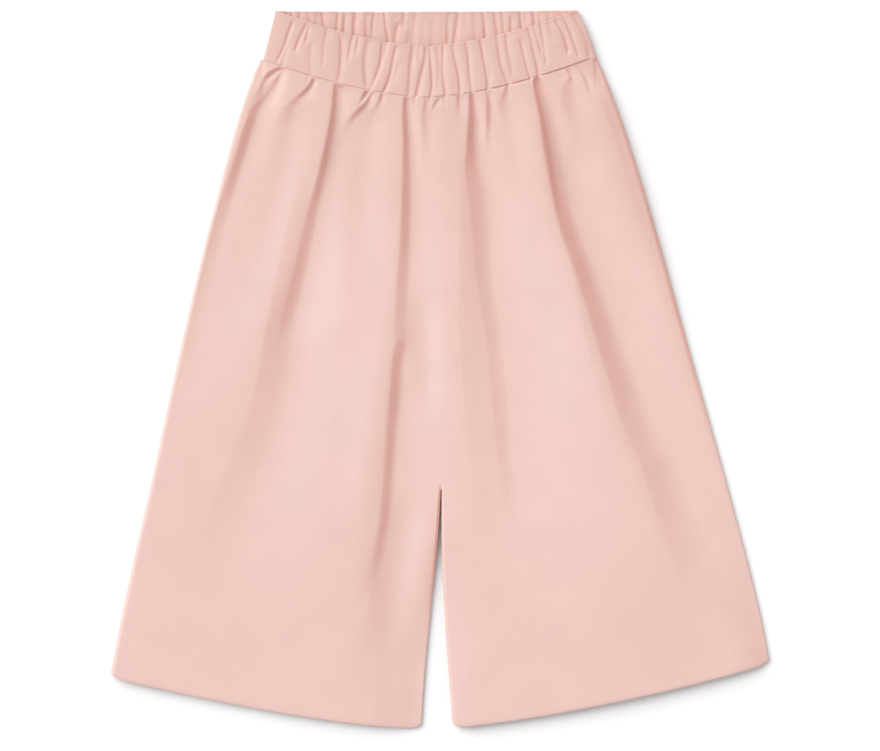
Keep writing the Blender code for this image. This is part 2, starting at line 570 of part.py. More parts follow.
THINNEST_EDGE = 0.3         # wall left at the very edge, as a part of the full wall

FRONT_BAND_REST = 0.35      # height of the front band over the back one at the sides
FRONT_BAND_RISE_TOP = 3.4   # further height in the middle, at the top edge and at the seam
FRONT_BAND_RISE_SEAM = 6.0
FRONT_BAND_ROUNDNESS = 0.35     # the lower, the further that height reaches to the sides

# ---------------------------------------------------------------- grid of a leg
FRONT_COLUMNS = 36
FRONT_ROWS_TO_CROTCH = 23
FRONT_ROWS_TO_HEM = 10
BACK_COLUMNS = 16
BACK_ROWS_TO_CROTCH = 12
BACK_ROWS_TO_HEM = 5
EDGE_COLUMN = 0.014         # width of the outermost columns, as a part of a leg's width
ROW_CROWDING = 1.5          # above 1 the rows crowd towards the waistband
STEEPEST_FRONT = 1.7        # limit on how much a slope adds to a wall's upright thickness
STEEPEST_BACK = 1.15

PINK_COTTON = (0.83, 0.577, 0.516, 1.0)
PINK_COTTON_SHADED = (0.79, 0.535, 0.475, 1.0)


# ---------------------------------------------------------------- curves
def between(start, end, part):
    return start + (end - start) * part


def smooth_step(part):
    part = np.clip(part, 0.0, 1.0)
    return part * part * (3.0 - 2.0 * part)


def smooth_through(stations, values, at):
    """A cubic Hermite curve through the table's rows, with no corner at a row."""
    stations = np.asarray(stations, dtype=float)
    values = np.asarray(values, dtype=float)
    slopes = np.gradient(values, stations)
    index = np.clip(np.searchsorted(stations, at, side="right") - 1, 0, len(stations) - 2)
    span = stations[index + 1] - stations[index]
    part = np.clip((at - stations[index]) / span, 0.0, 1.0)
    square = part * part
    cube = square * part
    return ((2.0 * cube - 3.0 * square + 1.0) * values[index]
            + (cube - 2.0 * square + part) * span * slopes[index]
            + (3.0 * square - 2.0 * cube) * values[index + 1]
            + (cube - square) * span * slopes[index + 1])


def through(rows, stations, values, at):
    """The value of one column of a table, at a place along another."""
    heads = [getattr(row, stations) for row in rows]
    return smooth_through(heads, [getattr(row, values) for row in rows], at)


def band_edge(start, end, part, dip):
    """An edge that sags by dip between the two sides of the waist."""
    across = between(start[0], end[0], part)
    sag = 1.0 - np.clip(np.abs(2.0 * part - 1.0), 0.0, 1.0) ** SAG_ROUNDNESS
    return across, between(start[1], end[1], part) + dip * sag


def waist_seam(across, dip):
    """Where the seam under a waistband lies at this place across."""
    width = BAND_FOOT_LEFT[0] - BAND_FOOT_RIGHT[0]
    part = np.clip((across - BAND_FOOT_RIGHT[0]) / width, 0.0, 1.0)
    return band_edge(BAND_FOOT_RIGHT, BAND_FOOT_LEFT, part, dip)[1]


def side_edge(side, down):
    return through(SECTIONS, "down", side + "_side", down)


def inner_edge(side, down):
    """The centre seam down to the crotch and the inseam below it."""
    inseam = through(INSEAM_SECTIONS, "down", side + "_inner", down)
    seam_part = np.clip(down / CROTCH[1], 0.0, 1.0)
    centre = between(CENTRE_SEAM_TOP, CROTCH[0], seam_part)
    return np.where(down < CROTCH[1], centre, inseam)


def hem_bow(side, part):
    """How far a hem lies below a straight line, at a part of the way from side seam to inseam."""
    depth, lean = HEM_BOW_RIGHT if side == "right" else HEM_BOW_LEFT
    return depth * np.clip(1.0 - (2.0 * part ** lean - 1.0) ** 2, 0.0, 1.0) ** 0.75


def band_sides(down_part):
    """Across places of the waistband's right and left side, at a part of the way down it."""
    bulge = BAND_LEFT_BULGE * 4.0 * down_part * (1.0 - down_part)
    return (between(BAND_TOP_RIGHT[0], BAND_FOOT_RIGHT[0], down_part),
            between(BAND_TOP_LEFT[0], BAND_FOOT_LEFT[0], down_part) + bulge)


def furrow_line(furrow, down_part):
    """Across, at a part of the way down the waistband: a parabola through head, middle and foot."""
    bend = furrow.middle - (furrow.head + furrow.foot) / 2.0
    return between(furrow.head, furrow.foot, down_part) + 4.0 * bend * down_part * (1.0 - down_part)


def furrow_strength(furrow, down_part):
    """1 along a furrow, fading out past its ends where these are not the waistband's edges."""
    opens = 1.0 if furrow.begins == 0.0 else smooth_step((down_part - furrow.begins) / FURROW_FADE + 0.5)
    closes = 1.0 if furrow.ends == 1.0 else smooth_step((furrow.ends - down_part) / FURROW_FADE + 0.5)
    return opens * closes


# ---------------------------------------------------------------- places over a leg
def column_parts(columns):
    """Places across a leg, 0 to 1, with a narrow column along each edge."""
    inside = between(EDGE_COLUMN, 1.0 - EDGE_COLUMN, np.arange(columns - 1) / (columns - 2))
    return np.concatenate([[0.0], inside, [1.0]])[None, :]


def leg_places(side, seam_dip, columns, rows_to_crotch, rows_to_hem):
    """Across and down of a leg's grid: rows from waist to hem, columns from side seam to inseam."""
    sign = -1.0 if side == "right" else 1.0
    band_corner = BAND_FOOT_RIGHT if side == "right" else BAND_FOOT_LEFT
    side_top = (band_corner[0] + sign * PANEL_BULGE, band_corner[1] + SEAM_GAP)
    side_hem = SIDE_HEM_RIGHT if side == "right" else SIDE_HEM_LEFT
    inner_hem = INNER_HEM_RIGHT if side == "right" else INNER_HEM_LEFT
    inner_top_down = float(waist_seam(CENTRE_SEAM_TOP, seam_dip)) + SEAM_GAP
    crotch_part = (CROTCH[1] - inner_top_down) / (inner_hem[1] - inner_top_down)

    upper = crotch_part * (np.arange(rows_to_crotch) / rows_to_crotch) ** ROW_CROWDING
    lower = between(crotch_part, 1.0, np.arange(rows_to_hem + 1) / rows_to_hem)
    fall = np.concatenate([upper, lower])[:, None]
    across_part = column_parts(columns)

    side_down = between(side_top[1], side_hem[1], fall)
    side_across = side_edge(side, side_down)
    inner_down = between(inner_top_down, inner_hem[1], fall)
    inner_across = inner_edge(side, inner_down) + sign * SEAM_GAP / 2.0

    top_across = between(side_across[0], inner_across[0], across_part)
    top_down = waist_seam(top_across, seam_dip) + SEAM_GAP
    hem_across = between(side_across[-1], inner_across[-1], across_part)
    hem_width = abs(side_across[-1, 0] - inner_across[-1, 0])
    corner_distance = np.minimum(across_part, 1.0 - across_part) * hem_width
    corner = CORNER_EASE * np.clip(1.0 - corner_distance / CORNER_REACH, 0.0, 1.0) ** 2
    bow = hem_bow(side, across_part)
    hem_down = between(side_hem[1], inner_hem[1], across_part) + bow - corner

    places = []
    for top, hem, outer, inner in ((top_across, hem_across, side_across, inner_across),
                                   (top_down, hem_down, side_down, inner_down)):
        ruled_down = between(top, hem, fall)
        ruled_across = between(outer, inner, across_part)
        corners_top = between(outer[0], inner[0], across_part)
        corners_hem = between(outer[-1], inner[-1], across_part)
        places.append(ruled_down + ruled_across - between(corners_top, corners_hem, fall))
    places[1][-1] = hem_down
    return places


# ---------------------------------------------------------------- heights
def side_distances(across, down):
    """Distances in from the right side seam, the left one, and the inseam or crotch."""
    right = across - side_edge("right", down)
    left = side_edge("left", down) - across
    right_inner = inner_edge("right", down) - across
    left_inner = across - inner_edge("left", down)
    above_crotch = np.clip(CROTCH[1] - down, 0.0, None) * 0.5
    return right, left, np.maximum(right_inner, left_inner) + above_crotch, right_inner > left_inner


def quarter_round(distance, width):
    part = np.clip(distance / width, 0.0, 1.0)
    return np.sqrt(1.0 - (1.0 - part) ** 2)


def back_roll(across, down):
    """0 along the edges of a back leg, 1 once the cloth is well inside them."""
    right, left, inner = side_distances(across, down)[:3]
    nearest = np.minimum(np.minimum(right, left), inner)
    return quarter_round(nearest, BACK_ROLL) * smooth_step(nearest / BACK_ROLL * 1.6)


def front_roll(across, down):
    """0 along the edges of a front leg, about 1 well inside: a tight roll and a wide slope to each edge."""
    right, left, inner, on_right = side_distances(across, down)
    roll = np.minimum(quarter_round(right, EDGE_TURN), quarter_round(left, LEFT_EDGE_TURN))
    roll = np.minimum(roll, quarter_round(inner, EDGE_TURN))
    inner_share = np.where(on_right, INSEAM_RIGHT_SLOPE[0], INSEAM_LEFT_SLOPE[0])
    inner_width = np.where(on_right, INSEAM_RIGHT_SLOPE[1], INSEAM_LEFT_SLOPE[1])
    side_width = through(SIDE_SLOPES, "down", "wide", down)
    inner_share = inner_share * smooth_step((down - CROTCH[1]) / INSEAM_OPENS)
    for distance, share, width in (
            (right, through(SIDE_SLOPES, "down", "right_share", down), side_width),
            (left, through(SIDE_SLOPES, "down", "left_share", down), side_width),
            (left, LEFT_EDGE_SLOPE[0] * smooth_step(down / LEFT_EDGE_OPENS), LEFT_EDGE_SLOPE[1]),
            (inner, inner_share, inner_width)):
        roll = roll * (1.0 - share * np.clip(1.0 - distance / width, 0.0, 1.0) ** 2)
    return roll


def trough(offset, left, right):
    """1 on the line, 0 well away from it, and steeper near its rim at the wearer's right."""
    part = offset / left
    bell = np.exp(-part * part)
    arch = np.clip(1.0 - (part / 1.5) ** 2, 0.0, 1.0)
    wearers_right = between(bell, arch, FOLD_ARCH)
    return np.where(offset < 0.0, wearers_right, np.exp(-(offset / right) ** 2))


def fold_leaves(rows, across, down):
    """The part of the loft that one fold leaves at each place."""
    head, foot = rows[0].down, rows[-1].down
    at = np.clip(down, head, foot)
    centre = through(rows, "down", "across", at)
    slope = through(rows, "down", "across", np.clip(at + 0.5, head, foot)) - centre
    offset = (across - centre) / np.sqrt(1.0 + (2.0 * slope) ** 2)
    past_end = np.maximum(head - down, down - foot)
    share = np.clip(through(rows, "down", "share", at), 0.0, 1.0) * (1.0 - smooth_step(past_end / FOLD_END))
    left = np.clip(through(rows, "down", "left", at), NARROWEST_FOLD, None)
    right = np.clip(through(rows, "down", "right", at), NARROWEST_FOLD, None)
    return 1.0 - share * trough(offset, left, right)


def loft_left(folds, across, down):
    """What is left of the loft, 0 to 1, after all the folds."""
    left = np.ones_like(across)
    for rows in folds:
        left = left * fold_leaves(rows, across, down)
    return left


def swell_height(across, down):
    """Height of the broad soft swells and hollows between the folds."""
    height = np.zeros_like(across)
    for row in SWELLS:
        turn = math.radians(row.turn)
        wide = (across - row.across) * math.cos(turn) - (down - row.down) * math.sin(turn)
        long = (across - row.across) * math.sin(turn) + (down - row.down) * math.cos(turn)
        height = height + row.height * np.exp(-(wide / row.wide) ** 2 - (long / row.long) ** 2)
    return height


def back_reach(across, down):
    """How much of the back legs' lift there is: full at the waist, none lower down or at the edges."""
    fall = down - waist_seam(across, 0.0)
    return (1.0 - smooth_step(fall / BACK_LOFT_REACH)) * back_roll(across, down)


def back_under(across, down):
    """Height of the back legs' under side, which rests on the surface but for its folds."""
    fall = down - waist_seam(across, 0.0) - SEAM_GAP
    pinch = np.exp(-(fall / BACK_SEAM_PINCH) ** 2)
    seam_height = (BAND_WALL - PANEL_WALL) / 2.0
    lift = BACK_LOFT * back_reach(across, down) * (1.0 - loft_left(BACK_FOLDS, across, down))
    lift = np.where(lift < 0.02, 0.0, lift)
    return np.where(pinch > 0.01, seam_height * pinch, 0.0) + lift * (1.0 - pinch)


def front_band_rise(part, down_part):
    """Height of the front band above its rest, which grows towards the middle and the seam."""
    hump = np.sin(math.pi * np.clip(part, 0.0, 1.0)) ** FRONT_BAND_ROUNDNESS
    return between(FRONT_BAND_RISE_TOP, FRONT_BAND_RISE_SEAM, down_part) * hump


def front_under(across, down):
    """Height of the front legs' under side."""
    fall = np.clip(down - waist_seam(across, FRONT_FOOT_DIP) - SEAM_GAP, 0.0, None)
    floor = PANEL_WALL + SEAM_GAP + (BACK_LOFT + 0.5) * back_reach(across, down)
    width = BAND_FOOT_LEFT[0] - BAND_FOOT_RIGHT[0]
    band_part = (across - BAND_FOOT_RIGHT[0]) / width
    seam_height = (2.0 * BAND_WALL + FRONT_BAND_REST - PANEL_WALL
                   + front_band_rise(band_part, 1.0))
    loft = through(FRONT_LOFT, "fall", "height", fall)
    step = np.maximum(seam_height - floor, LEAST_SEAM_LOFT) - FRONT_LOFT[0].height
    loft = loft + step * np.exp(-(fall / SEAM_REACH) ** 2)
    loft = np.maximum(loft + swell_height(across, down), 0.35 * loft) * front_roll(across, down)
    body = floor + loft * loft_left(FRONT_FOLDS.values(), across, down)
    pinch = np.exp(-(fall / SEAM_PINCH) ** 2)
    return between(body, np.maximum(seam_height, floor), pinch)


def over(under, across, down, wall, steepest):
    """Height of a wall's upper side, the wall's thickness away square to the cloth."""
    step = 0.5
    slope_across = (under(across + step, down) - under(across - step, down)) / (2.0 * step)
    slope_down = (under(across, down + step) - under(across, down - step)) / (2.0 * step)
    steepness = np.sqrt(1.0 + slope_across ** 2 + slope_down ** 2)
    return under(across, down) + wall * np.clip(steepness, 1.0, steepest)


# ---------------------------------------------------------------- solids
def cloth_material(name, colour):
    material = bpy.data.materials.new(name)
    material.use_nodes = True
    shader = material.node_tree.nodes["Principled BSDF"]
    shader.inputs["Base Color"].default_value = colour
    shader.inputs["Roughness"].default_value = 0.9
    shader.inputs["Metallic"].default_value = 0.0
    return material


def wall_object(name, across, down, under, upper, material):
    """One closed wall between two grids of heights over the same places."""
    rows, columns = across.shape
    x = across * MM
    y = (LENGTH / 2.0 - down) * MM
    mesh = bmesh.new()
    layers = []
    for heights in (under, upper):
        z = heights * MM
        layers.append([[mesh.verts.new((x[r, c], y[r, c], z[r, c])) for c in range(columns)]
                       for r in range(rows)])
    low, high = layers
    for r in range(rows - 1):
        for c in range(columns - 1):
            ring = ((r, c), (r + 1, c), (r + 1, c + 1), (r, c + 1))
            for first, second, third in ((0, 1, 2), (0, 2, 3)):
                corners = (ring[first], ring[second], ring[third])
                mesh.faces.new([high[i][j] for i, j in corners])
                mesh.faces.new([low[i][j] for i, j in reversed(corners)])
    rim = ([(r, 0) for r in range(rows - 1)]
           + [(rows - 1, c) for c in range(columns - 1)]
           + [(r, columns - 1) for r in range(rows - 1, 0, -1)]
           + [(0, c) for c in range(columns - 1, 0, -1)])
    for here, following in zip(rim, rim[1:] + rim[:1]):
        a = high[here[0]][here[1]]
        b = high[following[0]][following[1]]
        a_low = low[here[0]][here[1]]
        b_low = low[following[0]][following[1]]
        mesh.faces.new((b, a, a_low, b_low))
    bmesh.ops.recalc_face_normals(mesh, faces=mesh.faces)

    data = bpy.data.meshes.new(name)
    mesh.to_mesh(data)
    mesh.free()
    data.shade_smooth()
    data.set_sharp_from_angle(angle=math.radians(50.0))
    data.materials.append(material)
    piece = bpy.data.objects.new(name, data)
    bpy.context.scene.collection.objects.link(piece)
    return piece


def front_leg(side, material):
    across, down = leg_places(side, FRONT_FOOT_DIP, FRONT_COLUMNS, FRONT_ROWS_TO_CROTCH, FRONT_ROWS_TO_HEM)
    upper = over(front_under, across, down, PANEL_WALL, STEEPEST_FRONT)
    return wall_object("front_leg_" + side, across, down, front_under(across, down), upper, material)


def back_leg(side, material):
    across, down = leg_places(side, 0.0, BACK_COLUMNS, BACK_ROWS_TO_CROTCH, BACK_ROWS_TO_HEM)
    upper = over(back_under, across, down, PANEL_WALL, STEEPEST_BACK)
    return wall_object("back_leg_" + side, across, down, back_under(across, down), upper, material)


def furrow_columns(furrows, down_part):
    """Across places of a band's columns at one row, and how deep the furrow at each column is."""
    right, left = band_sides(down_part)
    insets = (0.0, 0.3 * EDGE_ROUNDING, EDGE_ROUNDING)
    places = [right + inset for inset in insets]
    depths = [0.0 for inset in insets]
    lines = []
    for furrow in furrows:
        line = furrow_line(furrow, down_part) + FURROW_DARK_SIDE
        lines.append((line, furrow.depth * furrow_strength(furrow, down_part)))
    for place, depth in lines + [(left - EDGE_ROUNDING, 0.0)]:
        places += [between(places[-1], place, 0.5), place]
        depths += [0.0, depth]
    places += [left - 0.3 * EDGE_ROUNDING, left]
    depths += [0.0, 0.0]
    return places, depths


def rounding(distance):
    """Half thickness near a folded edge, as a part of the full half thickness."""
    return between(THINNEST_EDGE, 1.0, quarter_round(distance, EDGE_ROUNDING))


def waistband(name, furrows, top_dip, foot_dip, middle_height, material):
    """Half of the waistband: a flat ruched tube of cloth and elastic, folded over at its top edge."""
    rows = [furrow_columns(furrows, row) for row in BAND_ROWS]
    across = np.array([places for places, depths in rows])
    depth = FURROW_DEPTH * np.array([depths for places, depths in rows])
    down_part = np.array(BAND_ROWS)[:, None]
    right, left = band_sides(down_part)
    part = (across - right) / (left - right)
    top = band_edge(BAND_TOP_RIGHT, BAND_TOP_LEFT, part, top_dip)
    foot = band_edge(BAND_FOOT_RIGHT, BAND_FOOT_LEFT, part, foot_dip)
    down = between(top[1], foot[1], down_part)
    height = np.hypot(foot[0] - top[0], foot[1] - top[1])
    from_side = np.minimum(across - right, left - across)
    from_top = down_part * height
    half = BAND_WALL / 2.0 * np.minimum(rounding(from_side), rounding(from_top))
    half = np.maximum(half - depth, BAND_WALL / 2.0 * THINNEST_EDGE)
    middle = middle_height(part, down_part)
    return wall_object(name, across, down, middle - half, middle + half, material)


def back_band_middle(part, down_part):
    return np.full(part.shape, BAND_WALL / 2.0)


def front_band_middle(part, down_part):
    return 1.5 * BAND_WALL + FRONT_BAND_REST + front_band_rise(part, down_part)


def build():
    for item in list(bpy.data.objects):
        bpy.data.objects.remove(item, do_unlink=True)
    for side in ("right", "left"):
        back_leg(side, cloth_material("back_cotton_" + side, PINK_COTTON_SHADED))
        front_leg(side, cloth_material("front_cotton_" + side, PINK_COTTON))
    waistband("waistband_back", BACK_FURROWS, BACK_TOP_DIP, 0.0, back_band_middle,
              cloth_material("back_band_cotton", PINK_COTTON_SHADED))
    waistband("waistband_front", FRONT_FURROWS, FRONT_TOP_DIP, FRONT_FOOT_DIP, front_band_middle,
              cloth_material("front_band_cotton", PINK_COTTON))


build()
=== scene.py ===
import math
from collections import namedtuple

import bpy
import numpy as np
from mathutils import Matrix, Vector


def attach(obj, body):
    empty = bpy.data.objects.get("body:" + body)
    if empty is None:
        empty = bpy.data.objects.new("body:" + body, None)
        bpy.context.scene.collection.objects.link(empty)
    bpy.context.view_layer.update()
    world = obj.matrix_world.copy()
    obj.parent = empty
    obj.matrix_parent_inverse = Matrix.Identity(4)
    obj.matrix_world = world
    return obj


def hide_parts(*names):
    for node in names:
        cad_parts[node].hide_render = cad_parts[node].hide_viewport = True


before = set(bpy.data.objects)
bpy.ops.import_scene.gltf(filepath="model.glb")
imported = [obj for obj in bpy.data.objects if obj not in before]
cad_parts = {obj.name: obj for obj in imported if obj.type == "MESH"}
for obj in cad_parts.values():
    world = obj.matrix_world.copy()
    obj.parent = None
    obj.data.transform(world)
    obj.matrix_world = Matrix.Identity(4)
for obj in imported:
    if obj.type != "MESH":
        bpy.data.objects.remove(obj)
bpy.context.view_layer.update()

MM = 0.001

# ======================== light
KEY_AZIMUTH = math.radians(140.0)       # it comes from the upper left
KEY_ELEVATION = math.radians(37.0)
KEY_FROM = np.array([math.cos(KEY_AZIMUTH) * math.cos(KEY_ELEVATION),
                     math.sin(KEY_AZIMUTH) * math.cos(KEY_ELEVATION),
                     math.sin(KEY_ELEVATION)])
KEY_STRENGTH = 2.66
KEY_WIDTH = math.radians(56.0)
ROOM_STRENGTH = 0.58

# ======================== sizes, in millimetres
# "across" runs from the wearer's right (-X) to left, "down" from the waistband's top edge to the hems.
LENGTH = 574.0
CLOTH = 0.8                 # thickness of one layer in the fine shells
PANEL_WALL = 1.2            # the same layer's wall in the frame, whose upper side the shells follow
SEAM_GAP = 0.3
BAND_WALL = 2.6

BAND_TOP_RIGHT = (-132.8, 1.0)      # (across, down) of the waistband's corners
BAND_TOP_LEFT = (107.8, 0.4)
BAND_FOOT_RIGHT = (-142.8, 40.4)
BAND_FOOT_LEFT = (122.4, 37.4)
BAND_LEFT_BULGE = 1.2       # how far the waistband's left side bows out
BACK_TOP_DIP = 0.8          # how far the back waistband's top edge sags in the middle
FRONT_TOP_DIP = 28.6        # the same for the front waistband's
FRONT_FOOT_DIP = 31.2       # the same for the seam that joins it to the front legs
SAG_ROUNDNESS = 1.6         # 2 sags as a parabola, and 1 is a sharp V

CENTRE_SEAM_TOP = -13.6     # across, where the centre seams meet the waistband
CROTCH = (-0.8, 384.0)      # (across, down) of the point where the legs part

SIDE_SEAM_FOOT = {"right": 533.4, "left": 522.0}    # how far down each leg's seams end at its hem
INSEAM_FOOT = {"right": 573.6, "left": 572.8}
CORNER_EASE = 2.6           # how far a hem corner is rounded up
CORNER_REACH = 9.0          # the length of hem that the rounding takes
HEM_BOW_RIGHT = (6.0, 1.35)     # how far a hem bows down, and how far the bow leans to the inseam
HEM_BOW_LEFT = (6.4, 1.1)
HEM_ROUNDNESS = 0.75        # 1 bows as a parabola, and less is fuller towards its ends

# ------------------------ outline, a row for each section
Section = namedtuple("Section", "down right_side left_side")
SECTIONS = (
    Section(38, -143, 122.8),
    Section(45, -147, 126.3),
    Section(60, -152.9, 132.4),
    Section(90, -162.9, 143.6),
    Section(130, -173.9, 156.6),
    Section(184, -187.9, 172.5),
    Section(260, -205.9, 193.5),
    Section(384, -232.9, 227.8),
    Section(440, -245.6, 242.6),
    Section(480, -254.2, 252.4),
    Section(536, -265.1, 263.6),
)

InnerSection = namedtuple("InnerSection", "down right_inner left_inner")
INSEAM_SECTIONS = (
    InnerSection(384, -0.8, -0.8),
    InnerSection(424, -3.6, -0.4),
    InnerSection(480, -9.2, 2),
    InnerSection(530, -14, 5.4),
    InnerSection(576, -17.2, 8.8),
)

# ======================== folds, a row for each place down one
# A fold is a trough along a line. At each row, share is the part of the layer's loft that it takes
# away, and left and right are the widths of its sides towards the wearer's right and left.
Crease = namedtuple("Crease", "down across share left right")


def creases(*rows):
    return tuple(Crease(*row) for row in rows)


